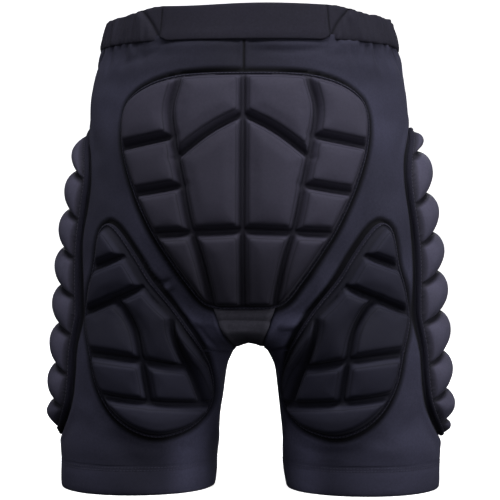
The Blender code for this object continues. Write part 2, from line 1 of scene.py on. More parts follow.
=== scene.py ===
"""Looks for the padded impact shorts: a knitted shell, moulded pads and a gathered waistband.

Lengths are millimetres in the garment's own frame (back toward -Y, wearer's left at -X)
and become metres, moved forward by DEPTH_SHIFT, when a mesh is written.
"""

import math
from functools import partial

import bpy
import numpy as np
from mathutils import Matrix, Vector
from mathutils.geometry import delaunay_2d_cdt


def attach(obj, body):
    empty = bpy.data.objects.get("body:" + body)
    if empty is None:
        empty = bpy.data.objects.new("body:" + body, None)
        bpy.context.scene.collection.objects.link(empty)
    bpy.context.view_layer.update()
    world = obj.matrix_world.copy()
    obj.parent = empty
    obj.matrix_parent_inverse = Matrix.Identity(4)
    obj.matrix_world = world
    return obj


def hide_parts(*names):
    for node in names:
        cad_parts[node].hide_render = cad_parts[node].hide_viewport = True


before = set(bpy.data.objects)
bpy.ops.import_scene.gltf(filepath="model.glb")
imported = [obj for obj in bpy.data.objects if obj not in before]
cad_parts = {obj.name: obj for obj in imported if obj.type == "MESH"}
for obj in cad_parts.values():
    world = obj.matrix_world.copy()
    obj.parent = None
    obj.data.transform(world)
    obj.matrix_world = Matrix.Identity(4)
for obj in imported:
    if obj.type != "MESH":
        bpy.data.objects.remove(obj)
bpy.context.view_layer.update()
ROOT = "root"

# ---------------------------------------------------------------- dimensions
TOP, BAND_BASE, HEM_TOP = 460.0, 426.0, 30.0
GAP, FABRIC = 0.3, 1.5
SEAM = -0.05                   # the centre and side seams are closed, not a gap
DEPTH_SHIFT = 17.5
BAND_FLAT_HALF = 78.0

TORSO_HALF_WIDTH = ((120, 181), (170, 178), (231, 173), (306, 162), (352, 156),
                    (380, 154), (426, 145), (460, 139))
TORSO_BACK = ((120, 98), (180, 109), (215, 118), (260, 125), (310, 122), (380, 112),
              (426, 104), (460, 100))
TORSO_FRONT = ((120, 92), (180, 99), (300, 105), (380, 103), (426, 101), (460, 100))
TORSO_POWER = 2.35
LEG_CENTRE = ((0, 110.5), (43, 109), (105, 104), (121, 102), (139, 97.5), (190, 83))
LEG_HALF_WIDTH = ((0, 75.5), (43, 77), (105, 78.3), (121, 79), (139, 82.5), (190, 93))
LEG_BACK = ((0, 80), (60, 84), (110, 90), (150, 99), (190, 108))
LEG_FRONT = ((0, 80), (60, 84), (110, 89), (150, 95), (190, 99))
LEG_POWER = 2.1
BLEND_FROM, BLEND_TO = 126.0, 174.0
AXIS = ((0, 110.5), (43, 109), (105, 104), (139, 96), (200, 80), (300, 68), (460, 60))
SIDE_SEAM = ((30, 0), (352, 0), (376, -6), (400, -22), (426, -39))

GUSSET_HUB = 250.0
CROTCH_FROM, CROTCH_TO = 132.0, 156.0
GUSSET_BACK = ((0, 14.5), (32, 15.5), (41, 17.5), (51, 24), (57, 29), (64, 28), (77, 1))
GUSSET_FRONT = ((0, 14.5), (32, 15.5), (41, 17), (51, 21), (57, 24), (64, 20), (77, 1))
GUSSET_TIP, TUCK = 222.0, 1.6
RISE = np.linspace(0, 1, 41) ** 1.3        # heights shared by the gusset and the panels

PAD_LIFT, BACKING, FOAM_WEB, COVER, BINDING = 1.4, 0.8, 1.1, 0.8, 2.0
FLOOR = PAD_LIFT + BACKING + FOAM_WEB + COVER + 2 * GAP     # cover level in the grooves
SEAT_HEIGHT, THIGH_HEIGHT, HIP_HEIGHT = 10.5, 9.0, 11.0
GROOVE = 1.25                  # half the width of a groove floor

SEAT_HALF = ((0, 395), (50, 394), (75, 390), (95, 382), (108, 371), (113.5, 357),
             (114.5, 340), (112.5, 322), (108, 304), (102, 286), (94.5, 268),
             (84.5, 248), (74, 231), (54, 202), (34, 180), (0, 177))
SEAT_GROOVES = (               # right half: spine, rail, chevron and three branches
    ((0, 400), (0, 170)),
    ((56.5, 400), (58, 388), (64.5, 358), (61.5, 332), (54, 292), (46, 252), (38.5, 228),
     (29, 186), (26.5, 172)),
    ((0, 354), (25, 341), (55, 318), (59, 314.5)),
    ((118, 323.2), (108, 325), (62, 334)),
    ((108, 281), (98, 282), (53, 289)),
    ((92, 245.7), (86, 246), (46, 248), (0, 250)),
)

THIGH_RING = ((126, 257), (134, 252), (138, 241), (142, 217), (148, 195.5), (152, 162),
              (146, 133), (140.5, 105), (128, 80), (109.5, 63), (85.5, 54.7), (60, 60),
              (47, 69), (38, 82), (35, 98), (36.5, 118), (42, 142), (54.5, 164),
              (68, 183), (86, 205.5), (98.5, 226), (116, 250.5))
THIGH_LINES = (
    ((150, 210), (145, 212), (113, 225), (96, 231)),
    ((156, 168), (150, 171), (98, 196), (76, 206)),
    ((117.5, 187), (112.5, 183), (100, 160), (95.6, 130)),
    ((150, 134.5), (142.5, 134), (95.6, 130), (61, 125)),
    ((58, 187), (65.5, 165), (61.5, 134.5), (55, 112), (48, 86.5)),
    ((95.6, 130), (91, 90.5)),
    ((140, 99), (133, 97), (91, 90.5), (48, 86.5), (30, 85)),
)
HIP_EDGE = ((48, 0), (60, 27), (80, 45.5), (105, 52), (170, 56), (231, 57), (290, 57),
            (318, 47), (338, 24), (352, 0))
HIP_VALLEYS = {"right": (322.5, 282.5, 244.5, 207, 168, 129, 92, 61),
               "left": (340, 306, 269, 232, 195, 157, 118.5, 82, 52)}
HIP_HALF, HIP_ARCH = 56.0, 16.0
SETTLE_FRAMES, WEIGHT_LEVELS = 20, 16
SHELL_SETTLE = (-2.2, 3.4)     # how far a simulation may move the shell, in and out
COVER_SETTLE = (-0.4, 2.2)     # and a pad's cover
SIDES = (("right", False), ("left", True))      # modelled on the right and mirrored
FAR = 60.0                     # a distance past which an edge or crease has no effect
BAND_FOLD, HEM_FOLD = 22, 11   # profile points before the cloth turns to its inside


# ------------------------------------------------------------ shell surface
def along(knots, at):
    """Smooth curve through (position, value) knots, level past both ends."""
    k = np.array(knots, float)
    x, v = k[:, 0], k[:, 1]
    slope = np.gradient(v, x)
    at = np.clip(np.asarray(at, float), x[0], x[-1])
    i = np.clip(np.searchsorted(x, at, side="right") - 1, 0, len(x) - 2)
    h = x[i + 1] - x[i]
    t = (at - x[i]) / h
    rise = v[i] + (3 * t**2 - 2 * t**3) * (v[i + 1] - v[i])
    return rise + h * ((t**3 - 2 * t**2 + t) * slope[i] + (t**3 - t**2) * slope[i + 1])


def step(t):
    """A smooth rise from 0 at zero to 1 at one."""
    t = np.clip(t, 0, 1)
    return t * t * (3 - 2 * t)


def bell(t):
    """A smooth bump: 1 at zero, next to nothing past 2."""
    return np.exp(-(t ** 2))


def distances(line):
    """How far along a line of points each of them lies."""
    return np.concatenate([[0], np.cumsum(np.linalg.norm(np.diff(line, axis=0), axis=1))])


def vectors(*parts):
    """Points or directions from arrays of their coordinates."""
    return np.stack(np.broadcast_arrays(*parts), axis=-1)


def unit(v):
    return v / np.linalg.norm(v, axis=-1, keepdims=True)


def mirrored(points, flip):
    """The points, swapped left for right if flip says so."""
    return points * np.array((-1.0 if flip else 1.0, 1.0, 1.0))


def sections(lines):
    """Lines of points along a tube, as the tube's cross-sections."""
    return np.array(lines).transpose(1, 0, 2)


def field(p):
    """Negative inside the shorts, positive outside, zero on the shell's outer surface."""
    x, y, z = np.abs(p[..., 0]), p[..., 1], p[..., 2]
    leg_depth = np.where(y < 0, along(LEG_BACK, z), along(LEG_FRONT, z))
    leg = (np.abs((x - along(LEG_CENTRE, z)) / along(LEG_HALF_WIDTH, z)) ** LEG_POWER
           + np.abs(y / leg_depth) ** LEG_POWER - 1)
    depth = np.where(y < 0, along(TORSO_BACK, z), along(TORSO_FRONT, z))
    torso = ((x / along(TORSO_HALF_WIDTH, z)) ** TORSO_POWER
             + np.abs(y / depth) ** TORSO_POWER - 1)
    aside = step((x - 14) / 32)
    low = CROTCH_FROM + (BLEND_FROM - CROTCH_FROM) * aside
    high = CROTCH_TO + (BLEND_TO - CROTCH_TO) * aside
    w = step((z - low) / (high - low))
    return (1 - w) * leg + w * torso


def normals(p):
    """Unit normals of the shell's surface, from differences of the field."""
    return unit(vectors(*(field(p + e) - field(p - e) for e in np.eye(3) * 0.4)))


def cast(start, toward, reach=260.0):
    """Where rays from inside the shorts first leave the shell."""
    start, toward = np.broadcast_arrays(np.asarray(start, float), np.asarray(toward, float))
    near = np.zeros(start.shape[:-1])
    found = np.zeros(start.shape[:-1], bool)
    stride = 7.0
    for _ in range(int(reach / stride)):
        outside = field(start + toward * (near + stride)[..., None]) >= 0
        found |= outside
        near = np.where(found, near, near + stride)
        if found.all():
            break
    far = near + stride
    for _ in range(16):
        mid = (near + far) / 2
        inside = field(start + toward * mid[..., None]) < 0
        near, far = np.where(inside, mid, near), np.where(inside, far, mid)
    return start + toward * near[..., None]


def flat_normals(n):
    """Normals turned level, so that an edge offset along them stays at its height."""
    return unit(n * np.array((1.0, 1.0, 0.0)))


# -------------------------------------------------------------- smooth noise
class Ripple:
    """Repeatable smooth noise: a sum of plane waves of about one wavelength."""

    def __init__(self, seed, wavelength, waves=14):
        rng = np.random.default_rng(seed)
        d = unit(rng.normal(size=(waves, 3)))
        self.k = d * (2 * math.pi / (wavelength * rng.uniform(0.7, 1.5, waves)))[:, None]
        self.phase = rng.uniform(0, 2 * math.pi, waves)
        self.gain = math.sqrt(2.0 / waves)

    def __call__(self, p):
        flat = p.reshape(-1, 3)
        total = np.zeros(len(flat))
        for k, phase in zip(self.k, self.phase):
            total += np.sin(flat @ k + phase)
        return (total * self.gain).reshape(p.shape[:-1])


# ------------------------------------------------------------- flat geometry
def smooth_ring(points, spacing, corners=()):
    """A closed curve through points, sharp only at the listed corner numbers."""
    p = np.array(points, float)
    n = len(p)
    out = []
    for i in range(n):
        a, b = p[i], p[(i + 1) % n]
        before = p[i - 1] if i not in corners else 2 * a - b
        after = p[(i + 2) % n] if (i + 1) % n not in corners else 2 * b - a
        span = np.linalg.norm(b - a)
        ta = (b - before) * span / (np.linalg.norm(a - before) + span)
        tb = (after - a) * span / (np.linalg.norm(after - b) + span)
        steps = max(1, round(span / spacing))
        t = (np.arange(steps) / steps)[:, None]
        out.append(a + (3 * t**2 - 2 * t**3) * (b - a) + (t**3 - 2 * t**2 + t) * ta
                   + (t**3 - t**2) * tb)
    return np.concatenate(out)


def smooth_line(points, spacing):
    """An open curve through points."""
    p = np.array(points, float)
    if len(p) == 2:
        steps = max(2, round(float(np.linalg.norm(p[1] - p[0])) / spacing))
        return p[0] + (p[1] - p[0]) * np.linspace(0, 1, steps)[:, None]
    run = distances(p)
    at = np.linspace(0, run[-1], max(2, round(run[-1] / spacing)))
    return vectors(*(along(vectors(run, part), at) for part in p.T))


def even_ring(ring, spacing):
    """The same closed curve with its points evenly spaced."""
    loop = np.concatenate([ring, ring[:1]])
    run = distances(loop)
    count = round(run[-1] / spacing)
    at = np.arange(count) / count * run[-1]
    return vectors(*(np.interp(at, run, part) for part in loop.T))


def inward(ring):
    """Unit normals pointing into a counter-clockwise ring, at its points."""
    x, y = unit(np.roll(ring, -1, axis=0) - np.roll(ring, 1, axis=0)).T
    return vectors(-y, x)


def within(points, ring):
    """Which flat points lie inside a ring."""
    inside = np.zeros(len(points), bool)
    x, y = points[:, 0], points[:, 1]
    for a, b in zip(ring, np.roll(ring, -1, axis=0)):
        if a[1] == b[1]:
            continue
        straddles = (a[1] > y) != (b[1] > y)
        inside ^= straddles & (x < (b[0] - a[0]) * (y - a[1]) / (b[1] - a[1]) + a[0])
    return inside


def line_distance(points, line, closed=False):
    """Shortest distance from flat points to a polyline."""
    ends = np.concatenate([line, line[:1]]) if closed else line
    best = np.full(len(points), 1e9)
    for a, b in zip(ends[:-1], ends[1:]):
        d = b - a
        t = np.clip(((points - a) @ d) / max(d @ d, 1e-12), 0, 1)
        off = points - a - t[:, None] * d
        best = np.minimum(best, np.einsum("ij,ij->i", off, off))
    return np.sqrt(best)


def net(ring, spacing):
    """Points and triangles filling a ring: the ring's own points come first."""
    low, high = ring.min(axis=0), ring.max(axis=0)
    rows = []
    for r, v in enumerate(np.arange(low[1], high[1], spacing * 0.87)):
        u = np.arange(low[0] + (r % 2) * spacing / 2, high[0], spacing)
        rows.append(vectors(u, v))
    inner = np.concatenate(rows)
    inner = inner[within(inner, ring)]
    inner = inner[line_distance(inner, ring, True) > spacing * 0.55]
    points = np.concatenate([ring, inner])
    edges = [(k, (k + 1) % len(ring)) for k in range(len(ring))]
    out = delaunay_2d_cdt([Vector(p) for p in points], edges, [], 0, 1e-5, True)
    order = [o[0] for o in out[3]]
    tris = np.array([[order[i] for i in t] for t in out[2]])
    middle = points[tris].mean(axis=1)
    return points, tris[within(middle, ring)]


# ------------------------------------------------------------- mesh helpers
def write(name, verts, faces, uv, material, slot, nodes=(), mirror=False, smooth=50,
          edge=None, tone_and_painted_light=None):
    """One visible piece in metres. uv holds a flat (mm) coordinate for each vertex,
    edge the distance (mm) from the nearest groove or seam, from which the look paints shade,
    tone_and_painted_light a function of the points (mm) that gives a factor on the colour:
    painted light and shade, with a little random tone on the shell."""
    v = np.asarray(verts, float).reshape(-1, 3)
    if mirror:
        v = mirrored(v, True)
        faces = [f[::-1] for f in faces]
    xyz = (v + np.array((0.0, DEPTH_SHIFT, 0.0))) / 1000.0
    mesh = bpy.data.meshes.new(name)
    mesh.from_pydata(xyz.tolist(), [], faces)
    mesh.calc_loop_triangles()
    corners = np.empty(len(mesh.loop_triangles) * 3, dtype=np.int32)
    mesh.loop_triangles.foreach_get("vertices", corners)
    a, b, c = xyz[corners.reshape(-1, 3)].transpose(1, 0, 2)
    if np.einsum("ij,ij->", a, np.cross(b, c)) < 0:
        mesh.flip_normals()
    layer = mesh.uv_layers.new(name="cloth")
    which = np.empty(len(mesh.loops), dtype=np.int32)
    mesh.loops.foreach_get("vertex_index", which)
    layer.data.foreach_set("uv", np.asarray(uv, np.float32).reshape(-1, 2)[which].ravel())
    # distance from the nearest groove or seam, from which the look paints shade
    if edge is not None:
        near = mesh.attributes.new("edge_mm", "FLOAT", "POINT")
        near.data.foreach_set("value", np.asarray(edge, np.float32).ravel())
    # a factor on the colour per vertex: painted light and shade, with a little random tone on the
    # shell
    if tone_and_painted_light is not None:
        painted_light_and_tone = mesh.attributes.new("painted_light_and_tone", "FLOAT", "POINT")
        painted_light_and_tone.data.foreach_set("value", tone_and_painted_light(v).astype(np.float32))
    mesh.shade_smooth()
    mesh.set_sharp_from_angle(angle=math.radians(smooth))
    mesh.materials.append(material)
    obj = bpy.data.objects.new(name, mesh)
    bpy.context.scene.collection.objects.link(obj)
    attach(obj, ROOT)
    if nodes:
        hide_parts(*nodes)
    return obj


def grid_faces(rows, cols, first=0, flip=False):
    r, c = np.meshgrid(np.arange(rows - 1), np.arange(cols - 1), indexing="ij")
    a = (first + r * cols + c).ravel()
    quads = np.stack([a, a + 1, a + 1 + cols, a + cols], axis=1)
    return (quads[:, ::-1] if flip else quads).tolist()


def two_sided(outer, inner, uv, flip=False):
    """A closed cloth piece from matching outer and inner grids of points."""
    rows, cols = outer.shape[:2]
    n = rows * cols
    verts = np.concatenate([outer.reshape(-1, 3), inner.reshape(-1, 3)])
    faces = grid_faces(rows, cols, 0, flip) + grid_faces(rows, cols, n, not flip)
    # once round the grid's edge, where the two sides are joined
    rim = (list(range(cols)) + [r * cols + cols - 1 for r in range(1, rows)]
           + [(rows - 1) * cols + c for c in range(cols - 2, -1, -1)]
           + [r * cols for r in range(rows - 2, 0, -1)])
    for a, b in zip(rim, rim[1:] + rim[:1]):
        faces.append((b, a, a + n, b + n) if not flip else (a, b, b + n, a + n))
    flat = uv.reshape(-1, 2)
    return verts, faces, np.concatenate([flat, flat])


def tube(loops, closed, flip=False):
    """Faces through equal cross-section loops, capped at the ends unless it is a ring."""
    count, size = loops.shape[:2]
    faces = []
    for s in range(count if closed else count - 1):
        a, b = s * size, ((s + 1) % count) * size
        for k in range(size):
            j = (k + 1) % size
            q = (a + k, a + j, b + j, b + k)
            faces.append(q[::-1] if flip else q)
    if not closed:
        ends = (tuple(range(size - 1, -1, -1)), tuple((count - 1) * size + k for k in range(size)))
        faces += [e[::-1] if flip else e for e in ends]
    return faces


# ---------------------------------------------------------------- materials
EDGE_SPAN = 12.0               # mm from a groove or seam over which a cloth's painted shade may change
# noises of single fibres, broad and wider patches and flecks: scale, detail, roughness
NOISES = ((2600.0, 3.0, 0.6), (26.0, 4.0, 0.55), (7.0, 2.0, 0.5), (460.0, 2.5, 0.65))
NOISE_WEIGHTS = (0.25, 0.45, 0.55, 1.5)
MIX_TOTAL = 2.77               # about the sum of the weights, so that the mix stays near 0.5


def node(tree, kind, **inputs):
    """A node with some of its inputs set."""
    made = tree.nodes.new(kind)
    for key, value in inputs.items():
        made.inputs[key.replace("_", " ")].default_value = value
    return made


def math_node(tree, operation, *values, clamp=False):
    """Arithmetic on numbers or sockets."""
    made = node(tree, "ShaderNodeMath")
    made.operation, made.use_clamp = operation, clamp
    for socket, value in zip(made.inputs, values):
        if isinstance(value, (int, float)):
            socket.default_value = value
        else:
            tree.links.new(value, socket)
    return made.outputs[0]


def ramp(tree, fac, stops):
    """A colour that changes with fac, from (position, colour) stops."""
    made = node(tree, "ShaderNodeValToRGB")
    elements = made.color_ramp.elements
    for element, stop in zip(elements, (stops[0], stops[-1])):
        element.position, element.color = stop
    for position, rgba in stops[1:-1]:
        elements.new(position).color = rgba
    tree.links.new(fac, made.inputs[0])
    return made.outputs[0]


def product(tree, *colours):
    made = node(tree, "ShaderNodeVectorMath")
    made.operation = "MULTIPLY"
    for socket, colour in zip(made.inputs, colours):
        tree.links.new(colour, socket)
    return made.outputs[0]


def bump_node(tree, height, strength, distance, under=None):
    """A bump, on top of the one under it."""
    made = node(tree, "ShaderNodeBump", Strength=strength, Distance=distance)
    tree.links.new(height, made.inputs["Height"])
    if under is not None:
        tree.links.new(under, made.inputs["Normal"])
    return made.outputs[0]


def attribute(tree, name, output):
    made = node(tree, "ShaderNodeAttribute")
    made.attribute_name = name
    return made.outputs[output]


def tint(rgb, factor):
    """An opaque colour made lighter or darker."""
    return tuple(c * factor for c in rgb) + (1.0,)


def grey(value):
    return tint((1.0, 1.0, 1.0), value)


def weave(tree, kind, u, v):
    """Height of the threads, from coordinates that turn once for each pitch."""
    times, plus, sine, absolute, power, less = (
        partial(math_node, tree, operation)
        for operation in ("MULTIPLY", "ADD", "SINE", "ABSOLUTE", "POWER", "SUBTRACT"))
    if kind == "twill":
        return sine(plus(u, v))
    if kind == "smooth":
        return times(sine(u), sine(times(v, 0.5)))
    if kind in ("plain", "mesh"):
        crossed = times(sine(u), sine(v))
        return crossed if kind == "plain" else less(1.0, power(absolute(crossed), 3.0))
    column = absolute(sine(times(u, 0.5)))
    if kind == "rib":
        return plus(column, times(sine(v), 0.3))
    loops = sine(plus(v, times(column, 2.2)))       # knit: columns of V-shaped loops
    return plus(times(loops, 0.35), column)


def painted_edge_shade(tree, painted_recess_shade, crease):
    """Painted shade of the cloth near its grooves and seams, a painted dark line along its pressed
    crease, and the bump of that line.
    """
    share, reach = painted_recess_shade
    near = attribute(tree, "edge_mm", "Fac")
    span = math_node(tree, "MULTIPLY", near, 1 / EDGE_SPAN, clamp=True)

    def stops(*pairs):
        return ramp(tree, span, [(at / EDGE_SPAN, grey(value)) for at, value in pairs])

    # painted shade: darkest by the share near a groove or seam, clearing by the reach
    shade = stops((0.0, 1 - share), (reach * 0.3, 1 - share), (reach, 1))
    if crease is None:
        return shade, None
    line = stops((crease - 0.8, 1), (crease, 0), (crease + 0.8, 1))
    pressed = bump_node(tree, line, 0.6, 0.0004)
    # painted shade: a dark line along the crease
    crease_shade = stops((crease - 1.0, 1), (crease, 0.62), (crease + 0.7, 1))
    return product(tree, shade, crease_shade), pressed


def cloth(name, rgb, kind, pitch, depth, roughness, sheen, vary=0.16, grain=0.25,
          painted_recess_shade=None, crease=None, with_painted_light=False):
    """A textile: kind is knit, plain, twill, rib, mesh or smooth; pitch and depth in mm.

    painted_recess_shade (share, reach) is painted shade that darkens the cloth toward its grooves
    and seams;
    crease is the distance from them at which the cloth has been pressed into a fine line, which is
    also painted darker."""
    mat = bpy.data.materials.new(name)
    mat.use_nodes = True
    mat.diffuse_color = (*rgb, 1.0)
    tree = mat.node_tree
    times, plus = (partial(math_node, tree, operation) for operation in ("MULTIPLY", "ADD"))
    uv = node(tree, "ShaderNodeUVMap")
    uv.uv_map = "cloth"
    split = node(tree, "ShaderNodeSeparateXYZ")
    tree.links.new(uv.outputs["UV"], split.inputs[0])
    u, v = (times(split.outputs[k], 2 * math.pi / pitch) for k in (0, 1))
    height = weave(tree, kind, u, v)
    place = node(tree, "ShaderNodeTexCoord").outputs["Object"]
    noises = []
    for scale, detail, rough in NOISES:
        noise = node(tree, "ShaderNodeTexNoise", Scale=scale, Detail=detail, Roughness=rough)
        tree.links.new(place, noise.inputs["Vector"])
        noises.append(noise.outputs[0])
    fibre, broad = noises[:2]
    # painted shade toward grooves and seams, and the crease's bump
    recess_shade, pressed = painted_edge_shade(tree, painted_recess_shade, crease) if painted_recess_shade else (None, None)
    threads = bump_node(tree, plus(height, times(fibre, grain * 3)), 1.0, depth / 1000, pressed)
    rolling = bump_node(tree, broad, 0.55, 0.0011, threads)
    mix = times(height, 0.04)
    for noise, weight in zip(noises, NOISE_WEIGHTS):
        mix = plus(mix, times(noise, weight))
    mix = times(mix, 1 / MIX_TOTAL)
    shade = ramp(tree, mix, ((0.35, tint(rgb, 1 - 1.4 * vary)), (0.65, tint(rgb, 1 + 1.4 * vary))))
    # painted shade of grooves and seams, multiplied into the colour
    if recess_shade is not None:
        shade = product(tree, shade, recess_shade)
    # painted light and shade held on the mesh
    if with_painted_light:
        shade = product(tree, shade, attribute(tree, "painted_light_and_tone", "Vector"))
    polish = ramp(tree, broad, ((0.3, grey(roughness - 0.06)), (0.7, grey(roughness + 0.06))))
    bsdf = tree.nodes["Principled BSDF"]
    for socket, value in (("Normal", rolling), ("Base Color", shade), ("Roughness", polish)):
        tree.links.new(value, bsdf.inputs[socket])
    for socket, value in (("Specular IOR Level", 0.12), ("Sheen Weight", sheen),
                          ("Sheen Roughness", 0.45), ("Sheen Tint", (0.75, 0.74, 0.85, 1.0))):
        bsdf.inputs[socket].default_value = value
    return mat


KNIT = dict(kind="knit", pitch=0.9, depth=0.08, sheen=0.02)
SMOOTH = dict(kind="smooth", pitch=0.7, depth=0.03, roughness=0.74, sheen=0.02, vary=0.08,
              grain=0.18)
# painted shadow beside the pads and at seams; the painted light and shade held on the mesh is
# multiplied in too
SHELL = cloth("shell_knit_look", (0.0301, 0.0298, 0.0497), roughness=0.82, vary=0.14,
              painted_recess_shade=(0.90, 5.2), with_painted_light=True, **KNIT)
GUSSET = cloth("gusset_knit_look", (0.0641, 0.0615, 0.0791), roughness=0.85, **KNIT)
# the hem takes the shell's painted light and shade
HEM = cloth("hem_knit_look", (0.0301, 0.0298, 0.0497), roughness=0.82, vary=0.14, with_painted_light=True,
            **KNIT)
# painted shade at the band's ends and in its pleat creases
BAND = cloth("waistband_look", (0.0131, 0.0123, 0.0197), "plain", 0.8, 0.06, 0.80, 0.02,
             painted_recess_shade=(0.7, 3.0))
ELASTIC = cloth("elastic_look", (0.251, 0.251, 0.264), "rib", 1.6, 0.25, 0.8, 0.1)
# painted shade in the cover's grooves, along its crease line, and held on its mesh
COVER_LOOK = cloth("pad_cover_look", (0.0315, 0.0294, 0.0446), painted_recess_shade=(0.40, 2.2), crease=4.6,
                   with_painted_light=True, **SMOOTH)
# painted shade: the thigh pads' cover is the pad cover's fabric painted darker
THIGH_COVER_SHADED_LOOK = cloth("thigh_cover_shaded_look", (0.0159, 0.0158, 0.0268), painted_recess_shade=(0.45, 2.2),
                         crease=4.6, with_painted_light=True, **SMOOTH)
# painted light: the hip pads' cover is the pad cover's fabric painted lighter, with painted shade
# in its valleys
HIP_COVER_LIT_LOOK = cloth("hip_cover_lit_look", (0.0490, 0.0465, 0.0707), painted_recess_shade=(0.80, 3.2), **SMOOTH)
FOAM_LOOK = cloth("pad_foam_look", (0.188, 0.188, 0.201), "smooth", 1.2, 0.10, 0.8, 0.0, grain=0.6)
LINING = cloth("pad_backing_look", (0.113, 0.113, 0.126), "mesh", 1.8, 0.25, 0.85, 0.1)
# partly painted shade: the binding is made much darker than the shell so that it widens the shadow
# line round each pad
TAPE = cloth("pad_binding_look", (0.0126, 0.0121, 0.0214), "twill", 0.9, 0.08, 0.80, 0.02)
THREAD = cloth("thread_look", (0.0452, 0.0440, 0.0628), "twill", 0.35, 0.05, 0.66, 0.03)


# ------------------------------------------------------- pads in outline
def seat_outline():
    half = SEAT_HALF[1:-1]
    ring = (list(half[::-1]) + [SEAT_HALF[0]] + [(-x, z) for x, z in half] + [SEAT_HALF[-1]])
    return smooth_ring(ring, 3.0)


def hip_outline():
    front = [(y, z) for z, y in HIP_EDGE]
    rear = [(-y, z) for z, y in HIP_EDGE]
    ring = front + rear[-2:0:-1]
    return smooth_ring(ring, 3.0, corners=(0, len(front) - 1))


def counter_clockwise(ring):
    x, y = ring.T
    doubled_area = np.sum(x * np.roll(y, -1) - np.roll(x, -1) * y)
    return ring if doubled_area > 0 else ring[::-1].copy()


SEAT_OUT = counter_clockwise(seat_outline())
THIGH_OUT = counter_clockwise(smooth_ring(THIGH_RING, 3.0))
HIP_OUT = counter_clockwise(hip_outline())


def on_back(flat):
    """Points of the shell behind flat (across, up) points, and its normals there."""
    x, z = flat.T
    p = cast(vectors(x, 0.0, z), (0.0, -1.0, 0.0))
    return p, normals(p)


def on_side(flat):
    """The same on the right side, for flat (forward, up) points."""
    y, z = flat.T
    p = cast(vectors(along(AXIS, z), y, z), (1.0, 0.0, 0.0))
    return p, normals(p)


# ---------------------------------------------------------- cloth simulation
class Drape:
    """Patches of cloth that settle together in one short cloth simulation."""

    def __init__(self):
        self.patches = {}

    def add(self, name, points, faces, held, slack, loosen, pressure, tension, stiff):
        """held pins points from 0 to 1; slack, from 0 to 1, says where the cloth is cut
        larger, by up to the share loosen."""
        mesh = bpy.data.meshes.new(name)
        mesh.from_pydata((points / 1000.0).tolist(), [], faces)
        obj = bpy.data.objects.new(name, mesh)
        bpy.context.scene.collection.objects.link(obj)
        for group, weights in (("held", held), ("taut", 1 - slack)):
            made = obj.vertex_groups.new(name=group)
            levels = np.round(np.clip(weights, 0, 1) * WEIGHT_LEVELS).astype(int)
            for level in range(WEIGHT_LEVELS + 1):
                chosen = np.flatnonzero(levels == level).tolist()
                made.add(chosen, level / WEIGHT_LEVELS, "REPLACE")
        settling = obj.modifiers.new("settle", "CLOTH")
        how = settling.settings
        how.quality, how.mass, how.air_damping = 5, 0.001, 2.0
        how.tension_stiffness = how.compression_stiffness = tension
        how.shear_stiffness, how.bending_stiffness = 8.0, stiff
        how.use_pressure, how.uniform_pressure_force = True, pressure
        how.vertex_group_mass, how.pin_stiffness = "held", 1.0
        how.vertex_group_shrink, how.shrink_max, how.shrink_min = "taut", 0.0, -loosen
        how.effector_weights.gravity = 0.0
        settling.collision_settings.use_collision = False
        settling.point_cache.frame_start, settling.point_cache.frame_end = 1, SETTLE_FRAMES
        self.patches[name] = (obj, points)

    def settle(self):
        """How far each patch's points moved, in mm."""
        scene = bpy.context.scene
        for number in range(1, SETTLE_FRAMES + 1):
            scene.frame_set(number)
        moved = {}
        graph = bpy.context.evaluated_depsgraph_get()
        for name, (obj, points) in self.patches.items():
            mesh = obj.evaluated_get(graph).data
            at = np.empty(len(points) * 3, np.float32)
            mesh.vertices.foreach_get("co", at)
            moved[name] = at.reshape(-1, 3) * 1000.0 - points
        for obj, _ in self.patches.values():
            mesh = obj.data
            bpy.data.objects.remove(obj)
            bpy.data.meshes.remove(mesh)
        scene.frame_set(1)
        self.patches = {}
        return moved


def finer(coarse):
    """A grid of values with a row and a column added between every two."""
    for axis in (0, 1):
        c = np.moveaxis(coarse, axis, 0)
        padded = np.concatenate([2 * c[:1] - c[1:2], c, 2 * c[-1:] - c[-2:-1]])
        middle = (9 * (padded[1:-2] + padded[2:-1]) - padded[:-3] - padded[3:]) / 16
        out = np.empty((2 * len(c) - 1,) + c.shape[1:])
        out[::2], out[1::2] = c, middle
        coarse = np.moveaxis(out, 0, axis)
    return coarse


def smoothed(grid):
    """A grid of values with its finest ripples taken out."""
    for _ in range(2):
        p = np.pad(grid, 1, mode="edge")
        p = (p[:-2] + 2 * p[1:-1] + p[2:]) / 4
        grid = (p[:, :-2] + 2 * p[:, 1:-1] + p[:, 2:]) / 4
    return grid


def spread(known, values, points, reach):
    """Values known at flat points, blended smoothly onto other flat points."""
    out = []
    for part in np.array_split(points, max(1, len(points) // 800)):
        gap = ((part[:, None, :] - known[None, :, :]) ** 2).sum(axis=2)
        weight = np.exp(-gap / reach**2)
        out.append(weight @ values / (weight.sum(axis=1) + 1e-9))
    return np.concatenate(out)


